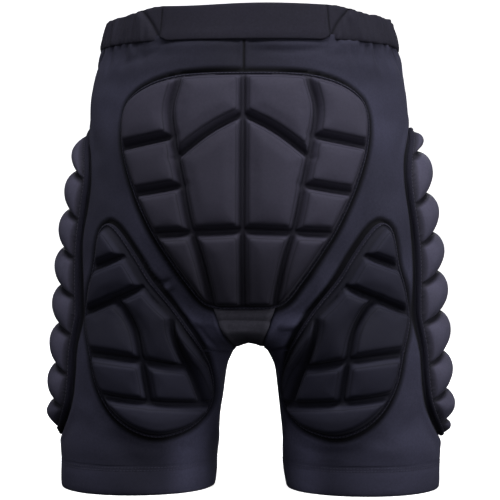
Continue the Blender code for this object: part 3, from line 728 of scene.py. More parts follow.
# ------------------------------------------------------------ shell folds
# Folds on the back: a line of (across, up) points, height (+ ridge, - crease), half width
BACK_FOLDS = (
    (((-118, 56), (-98, 47), (-78, 43.5)), -1.3, 3.4),
    (((-112, 48), (-92, 40), (-70, 38)), 0.9, 6.0),
    (((50, 45), (72, 41.5), (98, 44)), -1.4, 3.0),
    (((80, 47), (108, 49), (140, 40)), 0.9, 5.5),
    (((-86, 210), (-76, 200), (-68, 203)), -2.0, 2.4),
    (((-80, 205), (-73, 195)), -1.8, 2.0),
    (((-74, 199), (-66, 190)), 1.2, 2.6),
    (((-80, 192), (-62, 172), (-44, 166)), -1.8, 3.0),
    (((-66, 187), (-50, 168), (-34, 160)), 1.6, 3.8),
    (((68, 196), (50, 178), (30, 166)), -2.2, 2.2),
    (((78, 202), (60, 186), (38, 174)), 1.6, 2.6),
    (((84, 200), (62, 178), (40, 166)), -2.0, 2.2),
    (((64, 172), (46, 162), (32, 160)), 1.9, 2.6),
    (((60, 166), (46, 156), (30, 152)), -2.2, 2.4),
    (((46, 152), (36, 144), (28, 142)), 1.8, 2.6),
    (((42, 146), (34, 137), (26, 134)), -1.6, 2.4),
    (((-48, 164), (-36, 150), (-28, 140)), -2.0, 2.6),
    (((-38, 158), (-30, 146)), 1.2, 2.8),
    (((-70, 49), (-58, 44), (-46, 46)), -0.8, 2.6),
    (((3, 417), (50, 415.5), (77, 420), (92, 425)), -1.3, 2.8),
    (((14, 421.5), (66, 422)), 0.8, 2.8),
    (((-120, 408), (-92, 414), (-74, 424)), -0.9, 3.4),
    (((96, 400), (112, 388), (121, 372)), 0.8, 6.0),
    (((-128, 385), (-122, 400), (-112, 412)), -0.7, 5.0),
    (((-150, 88), (-142, 70), (-120, 58)), 0.8, 6.5),
    (((150, 100), (146, 76), (130, 58)), 0.7, 7.0),
)
# Painted shade and light at fine creases beside the left thigh pad: a line, and how much darker it
# is painted (below 0, lighter)
PUCKER_SHADING = (
    (((-86, 209), (-77, 203), (-69, 205)), 0.55),
    (((-81, 203), (-72, 198)), -0.60),
    (((-79, 198), (-71, 193), (-65, 196)), 0.55),
)
FRONT_FOLDS = (
    (((8, 208), (40, 196), (88, 204)), -1.2, 6.0),
    (((10, 184), (44, 170), (84, 172)), 1.2, 6.5),
    (((18, 160), (46, 150), (78, 150)), -1.3, 5.5),
    (((-8, 212), (-44, 200), (-92, 206)), -1.1, 6.0),
    (((-12, 182), (-46, 168), (-80, 166)), 1.3, 6.5),
    (((-20, 158), (-48, 146), (-82, 150)), -1.2, 5.5),
    (((60, 60), (100, 50), (140, 56)), -1.0, 5.0),
    (((-66, 52), (-104, 46), (-144, 56)), -1.1, 5.0),
    (((40, 300), (86, 280), (130, 290)), 0.8, 10.0),
    (((-44, 318), (-90, 296), (-128, 300)), 0.8, 10.0),
)
BROAD = Ripple(seed=3, wavelength=95)
SMALL = Ripple(seed=8, wavelength=34)
GATHER = Ripple(seed=21, wavelength=10.5, waves=18)


def clearance(points):
    """Distance outside the nearest back pad and hip pad outlines, negative under them."""
    flat_back, side = points[:, [0, 2]], points[:, 1:3]
    best = np.full(len(points), FAR)
    behind = points[:, 1] < 10

    def outside(flat, ring):
        return line_distance(flat, ring[::2], True) * np.where(within(flat, ring), -1, 1)

    for ring, flat in ((SEAT_OUT, flat_back), (THIGH_OUT, flat_back),
                       (THIGH_OUT, flat_back * np.array((-1.0, 1.0)))):
        best = np.where(behind, np.minimum(best, outside(flat, ring)), best)
    return best, np.where(np.abs(points[:, 0]) > 110, outside(side, HIP_OUT), FAR)


def folds(points, gaps):
    """How far the cloth stands off its smooth shape at points this near the pads."""
    x, y, z = points.T
    flat = vectors(x, z)
    off = 0.6 * BROAD(points) + 0.2 * SMALL(points)
    for table, facing in ((BACK_FOLDS, -1), (FRONT_FOLDS, 1)):
        share = step((y * facing + 12) / 30)
        for line, height, width in table:
            path = smooth_line(line, 3.0)
            reach = np.linalg.norm(path[0] - path[-1]) / 2
            from_middle = np.linalg.norm(flat - path.mean(axis=0), axis=1)
            fade = 1 - step((from_middle - reach * 0.35) / (reach * 0.9))
            off += share * height * fade * bell(line_distance(flat, path) / width)
    back, hip = gaps
    off *= step(np.minimum(back, hip) / 4.5)
    # the cloth dips where it meets a pad's edge, and rises a little just past it
    off += 0.35 * bell((back - 6.0) / 2.5) - 2.3 * bell((back - 1.5) / 1.9)
    off += 0.8 * bell((hip - 9.0) / 4.0) - 2.8 * bell((hip - 2.0) / 3.0)
    # it is drawn in under the waistband, most behind
    bearing = np.abs(np.arctan2(x, -y))
    off -= 1.3 * bell((z - 424.8) / 1.9) * (bearing < 0.78)
    off -= 0.9 * bell((z - 414) / 7.0) * step((-y - 40) / 40)
    # soft gathers hanging from the elastic sections of the waistband
    gathered = step((bearing - 0.72) / 0.25) * step((2.45 - bearing) / 0.25)
    return off + gathered * step((z - 392) / 34) * 1.1 * GATHER(vectors(x, y, z * 0.12))


# ---------------------------------------------------------------- shell
def leg_point(z, angle):
    """Where the shell lies at a height, by the angle round the leg's axis."""
    return cast(vectors(along(AXIS, z), 0.0, z), vectors(-np.cos(angle), -np.sin(angle), 0.0))


def angle_at(p):
    """The angle round the leg's axis of a point."""
    return np.arctan2(-p[..., 1], along(AXIS, p[..., 2]) - p[..., 0]) % (2 * math.pi)


def gusset_point(half, degrees, sign):
    """Where the shell lies under the gusset's hub, by the angle from straight down."""
    phi = np.radians(degrees)
    toward = vectors(0.0, sign * np.sin(phi), -np.cos(phi))
    return cast(vectors(half, 0.0, GUSSET_HUB), toward, 255.0)


def gusset_edge(sign):
    """Heights along the shell's edge beside the gusset, and the angles they lie at."""
    widths = GUSSET_BACK if sign < 0 else GUSSET_FRONT
    degrees = np.linspace(0, 77, 300)
    points = gusset_point(along(widths, degrees) + GAP / 2, degrees, sign)
    return np.maximum.accumulate(points[:, 2]), degrees


def inner_angles(heights, sign, edge):
    """Where a panel starts at each height: inseam, gusset edge or centre seam."""
    table, degrees = edge
    widths = GUSSET_BACK if sign < 0 else GUSSET_FRONT
    inseam = angle_at(vectors(0.0, sign * GAP / 2, heights))
    at = np.interp(heights, table, degrees)
    beside = angle_at(gusset_point(along(widths, at) + GAP / 2, at, sign))
    centre = angle_at(cast(vectors(SEAM, 0.0, heights), (0.0, sign, 0.0)))
    out = np.where(heights <= GUSSET_TIP + 0.01, beside, centre)
    out = np.where(heights < table[0] - 0.01, inseam, out)
    return np.where((sign > 0) & (out < 0.5), 2 * math.pi, out)


def seam_angles(heights, sign):
    """Where a panel ends at each height: its side seam."""
    start = vectors(along(AXIS, heights), along(SIDE_SEAM, heights) + sign * SEAM, heights)
    return angle_at(cast(start, (1.0, 0.0, 0.0)))


def panel(sign, heights, edge, columns):
    """Points of a panel and the distance of each along its row."""
    first, last = inner_angles(heights, sign, edge), seam_angles(heights, sign)
    fine = first[:, None] + (last - first)[:, None] * np.linspace(0, 1, 121)
    p = leg_point(heights[:, None], fine)
    lengths = np.linalg.norm(np.diff(p, axis=1), axis=2)
    run = np.concatenate([np.zeros((len(heights), 1)), np.cumsum(lengths, axis=1)], axis=1)
    even = np.linspace(0, 1, columns)
    angles = np.array([np.interp(even * r[-1], r, f) for r, f in zip(run, fine)])
    return leg_point(heights[:, None], angles), even * run[:, -1:]


def seam_dip(distance):
    """Cloth turning in at a seam."""
    return -1.1 * (1 - step(distance / 2.8)) + 0.3 * bell((distance - 3.8) / 1.7)


def shell_slack(points):
    """Where the shell is cut larger than it needs: groin, hem and below the elastic."""
    x, z = np.abs(points[:, 0]), points[:, 2]
    groin = step((z - 118) / 22) * step((228 - z) / 30) * step((112 - x) / 40)
    hem = 0.4 * step((70 - z) / 26)
    waist = 0.35 * step((z - 385) / 30) * step((x - 60) / 40)
    return np.clip(np.maximum(np.maximum(groin, hem), waist) + 0.08, 0, 1)


def shell_tone_and_painted_light(points):
    """Painted light and shade over the shell, with a little slow random tone: painted shadow under
    the waistband, painted shade on the flanks and cuffs, painted light inside the legs, and
    painted shade and light at its small creases.
    """
    x, y, z = points.T
    behind, cuff = step((14 - y) / 28), step((68 - z) / 38)
    # painted shade: under the waistband, across the top of the back, on both flanks and at the
    # cuffs
    painted_shades = (
        0.50 * bell((x + 20) / 64) * step((z - 385) / 20),
        0.30 * step((z - 370) / 32) * step((152 - np.abs(x)) / 36),
        0.30 * step((-x - 92) / 22) * step((z - 200) / 40) * step((366 - z) / 40),
        0.30 * step((x - 96) / 18) * step((z - 205) / 40) * step((345 - z) / 40),
        0.10 * bell((x + 128) / 30) * bell((z - 250) / 60),
        cuff * (0.46 * bell((x + 103) / 42) + 0.20 * bell((x - 85) / 36)))
    tone_and_painted_light = 1 + 0.05 * BROAD(points)
    for share in painted_shades:
        tone_and_painted_light = tone_and_painted_light * (1 - share * behind)
    # painted light: the shell is made palest at the inside of the legs
    inside = step((82 - np.abs(x)) / 26) * step((186 - z) / 36)
    tone_and_painted_light *= 1 + (0.9 + 0.7 * step((z - 60) / 40)) * inside
    flat = vectors(x, z)
    # painted shade in the small creases beside the left thigh pad, painted light on the ridge
    # between
    for line, depth in PUCKER_SHADING:
        near = line_distance(flat, smooth_line(line, 3.0))
        tone_and_painted_light *= 1 - depth * bell(near / 1.9) * behind
    return tone_and_painted_light


def seat_painted_shade(points):
    """Painted shade on the seat cover: darker toward its narrow lower end, its left side and its
    middle.
    """
    x, z = points[:, 0], points[:, 2]
    lower, left = step((256 - z) / 60), step((20 - x) / 90)
    middle = step((356 - z) / 34) * step((52 - x) / 44)
    return (1 - 0.34 * lower) * (1 - 0.12 * left) * (1 - 0.20 * middle)


def thigh_painted_shade(points):
    """Painted shade: the thigh cover is made darkest across its long middle blocks."""
    return 1 - 0.28 * bell((points[:, 2] - 158) / 26)


def shell_panels():
    """The four panels before they settle, as a list, with what the gusset shares."""
    edges = {s: gusset_edge(s) for s in (-1, 1)}
    crotch = max(edges[-1][0][0], edges[1][0][0])
    rise = crotch + (GUSSET_TIP - crotch) * RISE
    heights = np.concatenate([np.linspace(HEM_TOP - 1.0, crotch, 41)[:-1], rise,
                              np.linspace(GUSSET_TIP + 3, BAND_BASE + 6.0, 86)])
    made = []
    for sign, word in ((-1, "back"), (1, "front")):
        points, run = panel(sign, heights, edges[sign], columns=101)
        n = normals(points)
        from_seam = np.minimum(run, run[:, -1:] - run)
        near = clearance(points.reshape(-1, 3))
        for side, flip in SIDES:
            off = folds(mirrored(points, flip).reshape(-1, 3), near).reshape(run.shape)
            off = off * (0.2 + 0.8 * step(from_seam / 6)) + seam_dip(from_seam)
            tuck = step((heights - BAND_BASE) / 1.5)[:, None]
            off = off * (1 - tuck) - 0.35 * tuck
            made.append((f"{word}_panel_{side}", sign, flip, points, n, off, run, from_seam, near))
    return made, heights, (edges, crotch)


def drape_shell(drape, made, heights):
    """Every other point of each panel, as cloth held at its pads, seams and waistband."""
    every_other = (slice(None, None, 2), slice(None, None, 2))
    for name, sign, _, points, n, off, run, from_seam, near in made:
        gap = np.minimum(*near).reshape(run.shape)
        held = 1 - step((np.minimum(gap, from_seam * 1.4) - 3.5) / 5.0)
        held[:2] = held[heights > BAND_BASE - 1.0] = 1.0
        patch = (points + n * off[..., None])[every_other]
        faces = grid_faces(*patch.shape[:2], 0, sign > 0)
        patch = patch.reshape(-1, 3)
        drape.add(name, patch, faces, held[every_other].ravel(), shell_slack(patch),
                  loosen=0.045, pressure=5.0, tension=15.0, stiff=2.0)


def build_shell(made, heights, moved):
    below_band = (heights < BAND_BASE)[:, None]
    for name, sign, flip, points, n, off, run, from_seam, near in made:
        # painted shadow: the shell is darkened near a line just outside the seat and thigh pads
        # (1.4 mm) and the hip pads (2.2 mm), and near its seams
        gap = np.minimum(np.abs(near[0] - 1.4), np.abs(near[1] - 2.2) * 0.8).reshape(run.shape)
        dark = np.minimum(gap, from_seam * 1.6 + 1.4)
        coarse = n[::2, ::2]
        out = np.einsum("ijk,ijk->ij", moved[name].reshape(coarse.shape), coarse)
        off = off + finer(smoothed(np.clip(out, *SHELL_SETTLE))) * below_band
        outer = points + n * off[..., None]
        inner = points + n * (np.minimum(off, 0.4) * 0.6 - FABRIC)[..., None]
        shape = two_sided(outer, inner, vectors(run, heights[:, None]), flip=sign > 0)
        obj = write(name + "_cloth", *shape, SHELL, "shell_knit", (name,), mirror=flip,
                    edge=np.concatenate([dark, dark]), tone_and_painted_light=shell_tone_and_painted_light)


def build_gusset(edges, crotch):
    heights = crotch + (GUSSET_TIP - crotch) * RISE
    rows = []
    for sign, widths in ((-1, GUSSET_BACK), (1, GUSSET_FRONT)):
        at = np.interp(heights, edges[sign][0], edges[sign][1])
        at[0] = 0.0
        half = along(widths, at) - GAP / 2
        across = half[:, None] * np.linspace(-1, 1, 25)
        across = np.concatenate([across[:, :1] - TUCK, across, across[:, -1:] + TUCK], axis=1)
        rows.append(gusset_point(across, at[:, None], sign))
    points = np.concatenate([rows[0][::-1], rows[1][1:]])
    n = normals(points)
    half = np.abs(points[:, 1:2, 0])
    from_seam = np.maximum(half - np.abs(points[:, :, 0]), 0)
    flat_points = points.reshape(-1, 3)
    off = folds(flat_points, clearance(flat_points)).reshape(from_seam.shape)
    off = off * (0.2 + 0.8 * step(from_seam / 6)) + seam_dip(from_seam)
    # the seam that closes the gusset just under the seat pad
    level = points[..., 2]
    behind = points[..., 1] < -40
    off += behind * (0.6 * bell((level - 161.5) / 2.6) - 1.2 * bell((level - 166) / 1.6))
    off[:, [0, -1]] = -2.9
    run = distances(points[:, points.shape[1] // 2])
    inner = np.minimum(off - 0.7, -FABRIC)
    shape = two_sided(points + n * off[..., None], points + n * inner[..., None],
                      vectors(points[..., 0], run[:, None]), flip=True)
    obj = write("crotch_gusset_cloth", *shape, GUSSET, "gusset_knit", ("crotch_gusset",))


def hem_swing(p, flip):
    """The hem follows the folds of the leg above it."""
    seen = mirrored(p, flip)
    return folds(seen, clearance(p)) + 0.35 * BROAD(seen * 1.6 + 40) * step((30 - p[:, 2]) / 18)


def build_hems():
    """Turned-up leg hems: a rounded fold at the bottom and a stitched upper edge."""
    angles = np.linspace(0, 2 * math.pi, 241)[:-1]
    profile = ((-0.7, 29.65), (-0.05, 29.4), (0.15, 28), (0.0, 26.4), (0.22, 25.1), (0.0, 23.8),
               (0.35, 22), (0.6, 15), (0.65, 7), (0.45, 3), (0.0, 0.9), (-0.7, 0.05),
               (-1.3, 0.05), (-2.0, 0.6), (-2.4, 3), (-2.4, 15), (-2.4, 28.8), (-2.0, 29.65))
    for side, flip in SIDES:
        loops, flat = [], []
        for k, (offset, z) in enumerate(profile):
            p = leg_point(z, angles)
            n = flat_normals(normals(p))
            share = 1.0 if k < HEM_FOLD - 1 else 0.8
            loops.append(p + n * (offset + share * hem_swing(p, flip))[:, None])
            flat.append(vectors(distances(p), z + (0 if k < HEM_FOLD else 60)))
        loops = sections(loops)
        write(f"leg_hem_{side}_cloth", loops, tube(loops, True, flip=True), sections(flat), HEM,
              "hem_knit", (f"leg_hem_{side}",), mirror=flip, tone_and_painted_light=shell_tone_and_painted_light)


# ---------------------------------------------------------------- waistband
def band_point(z, bearing):
    """Where the shell lies at a height, by the bearing from straight behind."""
    return cast(vectors(0.0, 0.0, z), vectors(np.sin(bearing), -np.cos(bearing), 0.0))


def band_profile(outside, inside):
    """Cross-section of the folded band: (offset, height), rounded at its two folds."""
    mid, r = (outside + inside) / 2, (outside - inside) / 2
    low, high = BAND_BASE + r, TOP - r
    fold = [(r * math.cos(a), r * math.sin(a)) for a in np.linspace(0.35, 2.8, 7)]
    return ([(outside, z) for z in np.linspace(low, high, 19)]
            + [(mid + out, high + up) for out, up in fold]
            + [(inside, z) for z in np.linspace(high, low, 9)]
            + [(mid - out, low - up) for out, up in fold])


def bearings(first, last, spacing):
    """Bearings that space points evenly round the waist."""
    fine = np.linspace(first, last, 400)
    run = distances(band_point((BAND_BASE + TOP) / 2, fine))
    at = np.linspace(0, run[-1], max(4, round(run[-1] / spacing)))
    return np.interp(at, run, fine), at


def gathers(run, z, total, seed):
    """Pleats of a gathered section: a slanting fold at each end, upright ridges between."""
    rng = np.random.default_rng(seed)
    up = np.clip((z - BAND_BASE) / (TOP - BAND_BASE), 0, 1)
    out = np.zeros(np.broadcast(run, z).shape)
    at = 6.0
    while at < total - 6:
        width, height = rng.uniform(2.6, 4.6), rng.uniform(1.6, 3.6)
        centre = at + rng.normal(0, 4.0) * (up - 0.5) + rng.normal(0, 1.5) * np.sin(up * math.pi)
        out += height * bell((run - centre) / width) * (0.75 + 0.5 * up)
        at += width * rng.uniform(1.7, 2.6)
    crease = np.full(out.shape, FAR)
    for inward_run in (run, total - run):
        fold = 1.0 + 24.0 * up ** 1.5
        out = out * step((inward_run - fold - 1.0) / 5.0)
        wide = np.where(inward_run > fold, 6.0, 1.7)
        out += 0.3 * step((inward_run - fold) / 4.0) - 1.6 * bell((inward_run - fold) / wide)
        crease = np.minimum(crease, np.abs(inward_run - fold))
    return out - 1.8, crease


def elastic_middle(run, margin=0.0):
    """1 along a gathered stretch, falling to 0 over 55 mm at its ends."""
    return step((run + margin) / 55) * step((run[-1] + margin - run) / 55)


def band_section(name, first, last, outside, inside, lift=0.0, seed=None, mirror=False):
    """A stretch of the folded band: gathered where it has a seed for its pleats."""
    pleated = seed is not None
    bearing, run = bearings(first, last, 1.3 if pleated else 2.6)
    edge = np.minimum(run, run[-1] - run)
    loops, flat, near = [], [], []
    for k, (offset, z) in enumerate(band_profile(outside, inside)):
        up = (z - BAND_BASE) / (TOP - BAND_BASE)
        p = band_point(z, bearing)
        outer = offset > (outside + inside) / 2
        add = -1.3 * (1 - step(edge / 2.4)) * (1 if outer else -0.2)
        # painted shade: the band is darkened near its ends and, where gathered, in its pleat
        # creases
        dark = edge + 1.0
        if pleated:
            ridges, crease = gathers(run, z, run[-1], seed)
            dark = np.minimum(dark, crease + 0.8)
            middle = elastic_middle(run)
            add = add + ridges * (1.0 if outer else -0.1)
            add = add + 0.6 * np.sin(run / 9.0 + seed) * (up - 0.5) - 3.0 * up**2 * middle
            add = add - (0.9 * (1 - step(up / 0.2)) if outer else 0)
            drop = up * (5.5 * middle + 0.25 * GATHER(p) * step(edge / 6))
        else:
            add = add + 0.30 * BROAD(p) + 0.5 * bell((z - 432) / 5) * outer
            drop = 0.5 * BROAD(p) * up - lift * (1 - step(edge / 8)) * (1 - up) ** 4
        q = p + flat_normals(normals(p)) * (offset + add)[:, None]
        q[:, 2] = np.clip(z - drop, BAND_BASE - 0.6, TOP + 0.8)
        loops.append(q)
        near.append(dark)
        flat.append(vectors(run, z + (0 if k < BAND_FOLD else 80)))
    loops = sections(loops)
    write(name + "_cloth", loops, tube(loops, False), sections(flat), BAND, "waistband_cloth",
          (name,), mirror=mirror, smooth=60, edge=np.array(near).T)


def waist_elastic(side, mirror, first, last):
    """The flat elastic inside a gathered stretch."""
    bearing, run = bearings(first, last, 4.0)
    middle = elastic_middle(run, 28)
    loops, flat = [], []
    for offset, height in ((-1.7, 429), (-1.7, 440), (-1.7, 450), (-2.5, 450), (-2.5, 440),
                           (-2.5, 429)):
        up = (height - BAND_BASE) / (TOP - BAND_BASE)
        p = band_point(height, bearing)
        p = p + flat_normals(normals(p)) * (offset - 3.0 * up**2 * middle)[:, None]
        p[:, 2] -= up * 5.5 * middle
        loops.append(p)
        flat.append(vectors(run, height))
    loops = sections(loops)
    write(f"waist_elastic_{side}_band", loops, tube(loops, False), sections(flat), ELASTIC,
          "elastic", (f"waist_elastic_{side}",), mirror=mirror)


def build_waistband():
    middle = (BAND_BASE + TOP) / 2
    turn = []
    for sign in (-1.0, 1.0):
        corner = cast((BAND_FLAT_HALF, 0.0, middle), (0.0, sign, 0.0))
        turn.append(math.atan2(corner[0], -corner[1]))
    back, front = turn
    band_section("waistband_back", -back, back, 1.6, -2.0, lift=4.0)
    band_section("waistband_front", front, 2 * math.pi - front, 1.5, -2.0, lift=1.2)
    for (side, mirror), seed in zip(SIDES, (5, 11)):
        band_section(f"waistband_{side}", back, front, 1.6, -3.4, seed=seed, mirror=mirror)
        waist_elastic(side, mirror, back + 0.24, front - 0.24)


# --------------------------------------------------------------------- pads
def soft_least(distances, k):
    """Smallest of several distances, rounded off where two are close."""
    d = np.array(distances)
    least = d.min(axis=0)
    return least - k * np.log(np.exp(-(d - least) / k).sum(axis=0))


def block_depth(flat, lines, inner, rounding):
    """How far points lie into a block, from its grooves and the pad's inner edge."""
    near = [line_distance(flat, smooth_line(line, 5.0)) - GROOVE for line in lines]
    return soft_least(near + [inner], rounding)


def seat_relief(flat, shrink=0.0):
    """Height of the seat pad's blocks above the groove floor, and the depth into them."""
    half = vectors(np.abs(flat[:, 0]), flat[:, 1])
    edge = line_distance(flat, SEAT_OUT[::2], True)
    depth = block_depth(half, SEAT_GROOVES, edge - BINDING - 1.8, 0.8) - shrink
    return block_height(depth, SEAT_HEIGHT, 7.4, 0.9) - edge_dip(edge, shrink), depth


def thigh_relief(flat, shrink=0.0):
    """The same for a thigh pad, with a rib along its upper inner edge."""
    across, height = flat.T
    edge = line_distance(flat, THIGH_OUT[::2], True)
    upper = step((height - 160) / 30) * step((78 + (height - 150) * 0.55 - across) / 20)
    depth = block_depth(flat, THIGH_LINES, edge - BINDING - 2.0 - 5.0 * upper, 0.9) - shrink
    relief = block_height(depth, THIGH_HEIGHT, 7.0, 1.2) - edge_dip(edge, shrink)
    if shrink == 0:
        relief += upper * (1.3 * bell((edge - 7.0) / 1.3) - 0.9 * bell(edge - 4.6)
                           - 0.6 * bell((edge - 9.4) / 0.9))
    return relief, depth


def block_height(depth, height, bevel, crown):
    """A block with rounded sides and a slightly crowned top."""
    sides = 1 - (1 - np.clip(depth / bevel, 0, 1)) ** 2.15
    return height * sides + crown * (1 - (1 - np.clip(depth / 22, 0, 1)) ** 2)


def edge_dip(edge, shrink):
    """The cover tucks down just inside its bound edge."""
    return 1.2 * bell(edge - BINDING - 0.9) * (1.0 if shrink == 0 else 0.9)


def rounded(distance, radius):
    """Height of a quarter circle: 0 at its edge, 1 from the radius on."""
    return np.sqrt(1 - (1 - np.clip(distance / radius, 0, 1)) ** 2)


def hip_relief(side, flat, shrink=0.0):
    """The same for a hip pad: pillow-shaped ribs between arched valleys."""
    y, z = flat.T
    arch = HIP_ARCH * (0.35 - (y / HIP_HALF) ** 2)
    slope = 2 * HIP_ARCH * y / HIP_HALF**2
    near = [np.abs(z - valley - arch) / np.sqrt(1 + slope**2) - 0.9
            for valley in HIP_VALLEYS[side]]
    across = soft_least(near, 1.0) - shrink
    edge = line_distance(flat, HIP_OUT[::2], True)
    inner = edge - BINDING - 1.9 - shrink
    relief = (HIP_HEIGHT + 1.4) * rounded(across, 17) * rounded(inner, 19)
    if shrink == 0:
        relief += 0.8 * bell((inner + 0.8) / 0.8)
    return relief - edge_dip(edge, shrink), np.minimum(across, np.maximum(inner, 0) + 1.2)


def pad_layer(place, ring, spacing, top, bottom):
    """A closed layer: top gives heights at flat points, bottom the heights under those."""
    points, tris = net(ring, spacing)
    base, n = place(points)
    high = top(points)
    verts = np.concatenate([base + n * level[:, None] for level in (high, bottom(high))])
    shift, count = len(points), len(ring)
    k = np.arange(count)
    j = (k + 1) % count
    rim = np.stack([k, k + shift, j + shift, j], axis=1)
    if place is on_side:
        tris, rim = tris[:, ::-1], rim[:, ::-1]
    faces = tris.tolist() + (tris[:, ::-1] + shift).tolist() + rim.tolist()
    return verts, faces, np.concatenate([points, points])


TAPE_ACROSS = (0, 1.4, 3.1, 4.5, 5.6, 6.6, 7.4, 8.0, 10.5, 12.2)     # mm of tape, unrolled


def pad_binding(place, ring):
    """Rolled tape along the pad's edge."""
    fine = even_ring(ring, 1.6)
    toward_middle = inward(fine)
    # (distance in from the pad's edge, height above the shell) round the tape
    section = ((0.75, 0.1), (0.45, 1.2), (0.45, 2.7), (0.75, 3.7), (1.35, 4.3), (2.0, 4.4),
               (2.6, 4.1), (2.85, 3.5), (2.2, 1.6), (1.4, 0.3))
    loops = []
    for inset, height in section:
        base, n = place(fine + toward_middle * inset)
        loops.append(base + n * height)
    loops = sections(loops)
    uv = vectors(distances(fine)[:, None], np.array(TAPE_ACROSS))
    return loops, tube(loops, True, flip=place is on_side), uv


def stitches(path, normal, spacing=3.6, length=2.5, radius=0.27):
    """A closed row of thread stitches along a path of points on a surface."""
    ends = np.concatenate([path, path[:1]])
    turn = np.concatenate([normal, normal[:1]])
    run = distances(ends)
    count = max(2, int(run[-1] / spacing))
    starts = (np.arange(count) + 0.2) * run[-1] / count

    def at(where, line):
        return vectors(*(np.interp(where, run, part) for part in line.T))

    ahead = unit(at(starts + length, ends) - at(starts, ends))
    # (share of the length, width, lift), the last two in thread radii
    shape = ((0.0, 0.25, -0.5), (0.15, 0.85, 0.35), (0.5, 1.0, 0.75), (0.85, 0.85, 0.35),
             (1.0, 0.25, -0.5))
    size, rings = 6, []
    for share, width, lift in shape:
        where = starts + length * share
        p, n = at(where, ends), unit(at(where, turn))
        side = np.cross(ahead, n)
        for k in range(size):
            c, s = math.cos(2 * math.pi * k / size), math.sin(2 * math.pi * k / size)
            rings.append(p + (n * lift + (side * c + n * s) * width) * radius)
    verts = sections(rings).reshape(-1, 3)
    one = tube(np.zeros((len(shape), size, 3)), False)
    block = len(shape) * size
    faces = [tuple(i + block * c for i in f) for c in range(count) for f in one]
    return verts, faces, verts[:, [0, 2]]


def drape_cover(drape, name, place, ring, relief):
    """A pad's cover as a patch of cloth, held in its grooves and along its edge."""
    points, tris = net(even_ring(ring + inward(ring) * (BINDING + 0.4), 3.0), 3.0)
    base, n = place(points)
    height, depth = relief(points)
    drape.add(name, base + n * (FLOOR + height)[:, None], tris.tolist(),
              1 - step((depth - 0.5) / 3.5), np.ones(len(points)),
              loosen=0.01, pressure=60.0, tension=5.0, stiff=1.0)
    return points, n


def pad_parts(place, ring, relief, look, painted_light_and_tone, patch, moved):
    """The pieces of one pad: (name, (vertices, faces, uv), look, groove distances, painted shade).
    """
    known, outward = patch
    swell = np.clip(np.einsum("ij,ij->i", moved, outward), *COVER_SETTLE)
    foam_base = PAD_LIFT + BACKING + GAP

    def cover_top(points):
        height, depth = relief(points)
        return FLOOR + height + spread(known, swell, points, 3.0) * step(depth / 4.0)

    def foam_top(points):
        inside_cover = FLOOR - COVER - 0.6 + relief(points, 2.4)[0]
        return np.maximum(foam_base + 0.3, inside_cover)

    core = even_ring(ring + inward(ring) * (BINDING + 0.4), 1.6)
    backing = pad_layer(place, even_ring(core, 4.0), 5.0,
                        lambda points: np.full(len(points), PAD_LIFT + BACKING),
                        lambda high: high - BACKING)
    foam = pad_layer(place, even_ring(core, 3.0), 3.0, foam_top, lambda high: 0 * high + foam_base)
    cover = pad_layer(place, core, 1.35, cover_top, lambda high: high - COVER)
    base, n = place(even_ring(ring + inward(ring) * 1.7, 2.0))
    return (("backing", backing, LINING, None, None), ("foam", foam, FOAM_LOOK, None, None),
            ("cover", cover, look, relief(cover[2])[1], painted_light_and_tone),
            ("binding", pad_binding(place, ring), TAPE, None, None),
            ("stitches", stitches(base + n * 4.45, n), THREAD, None, None))


def write_pad(stem, parts, mirror):
    """One pad's pieces."""
    for piece, shape, look, edge, painted_light_and_tone in parts:
        slot, nodes = "pad_" + piece, (f"{stem}_{piece}",)
        if piece == "stitches":
            slot, nodes = "pad_binding", ()
        obj = write(f"{stem}_{piece}_look", *shape, look, slot, nodes, mirror=mirror,
                    smooth=80, edge=edge, tone_and_painted_light=painted_light_and_tone)




# place on the shell, outline, relief, look and painted shade of each pad
PADS = {"seat": (on_back, SEAT_OUT, seat_relief, COVER_LOOK, seat_painted_shade),
        "thigh": (on_back, THIGH_OUT, thigh_relief, THIGH_COVER_SHADED_LOOK, thigh_painted_shade),
        "hip_right": (on_side, HIP_OUT, partial(hip_relief, "right"), HIP_COVER_LIT_LOOK, None),
        "hip_left": (on_side, HIP_OUT, partial(hip_relief, "left"), HIP_COVER_LIT_LOOK, None)}


def build_pads(patches, moved):
    parts = {name: pad_parts(*PADS[name], patches[name], moved[name]) for name in PADS}
    write_pad("seat_pad", parts["seat"], False)
    for side, mirror in SIDES:
        write_pad(f"thigh_pad_{side}", parts["thigh"], mirror)
        write_pad(f"hip_pad_{side}", parts["hip_" + side], mirror)




def build_stitching():
    """Two rows of stitches round each hem."""
    angles = np.linspace(0, 2 * math.pi, 241)[:-1]
    for k, z in enumerate((26.4, 23.8)):
        p = leg_point(z, angles)
        n = flat_normals(normals(p))
        for side, flip in SIDES:
            row = stitches(p + n * (0.1 + hem_swing(p, flip))[:, None], n,
                           spacing=3.2, length=2.3, radius=0.22)
            write(f"leg_hem_{side}_stitches_{k + 1}", *row, THREAD, "hem_knit",
                  mirror=flip, smooth=80)


# -------------------------------------------------------------------- stage
def ring_sheet(name, look, profile, middle):
    """A stage sheet swept round the upright axis from (radius, height) pairs."""
    turns = 96
    angle = np.arange(turns) * 2 * math.pi / turns
    verts = [(r * math.cos(a), r * math.sin(a), z) for r, z in profile for a in angle]
    faces = [tuple(f[::-1]) for f in tube(np.zeros((len(profile), turns, 3)), False)[:-2]]
    if middle:
        faces.append(tuple(range(turns)))
    mesh = bpy.data.meshes.new(name)
    mesh.from_pydata(verts, [], faces)
    mesh.shade_smooth()
    mesh.materials.append(look)
    sheet = bpy.data.objects.new(name, mesh)
    sheet.visible_diffuse = sheet.visible_glossy = False
    bpy.context.scene.collection.objects.link(sheet)
    return sheet


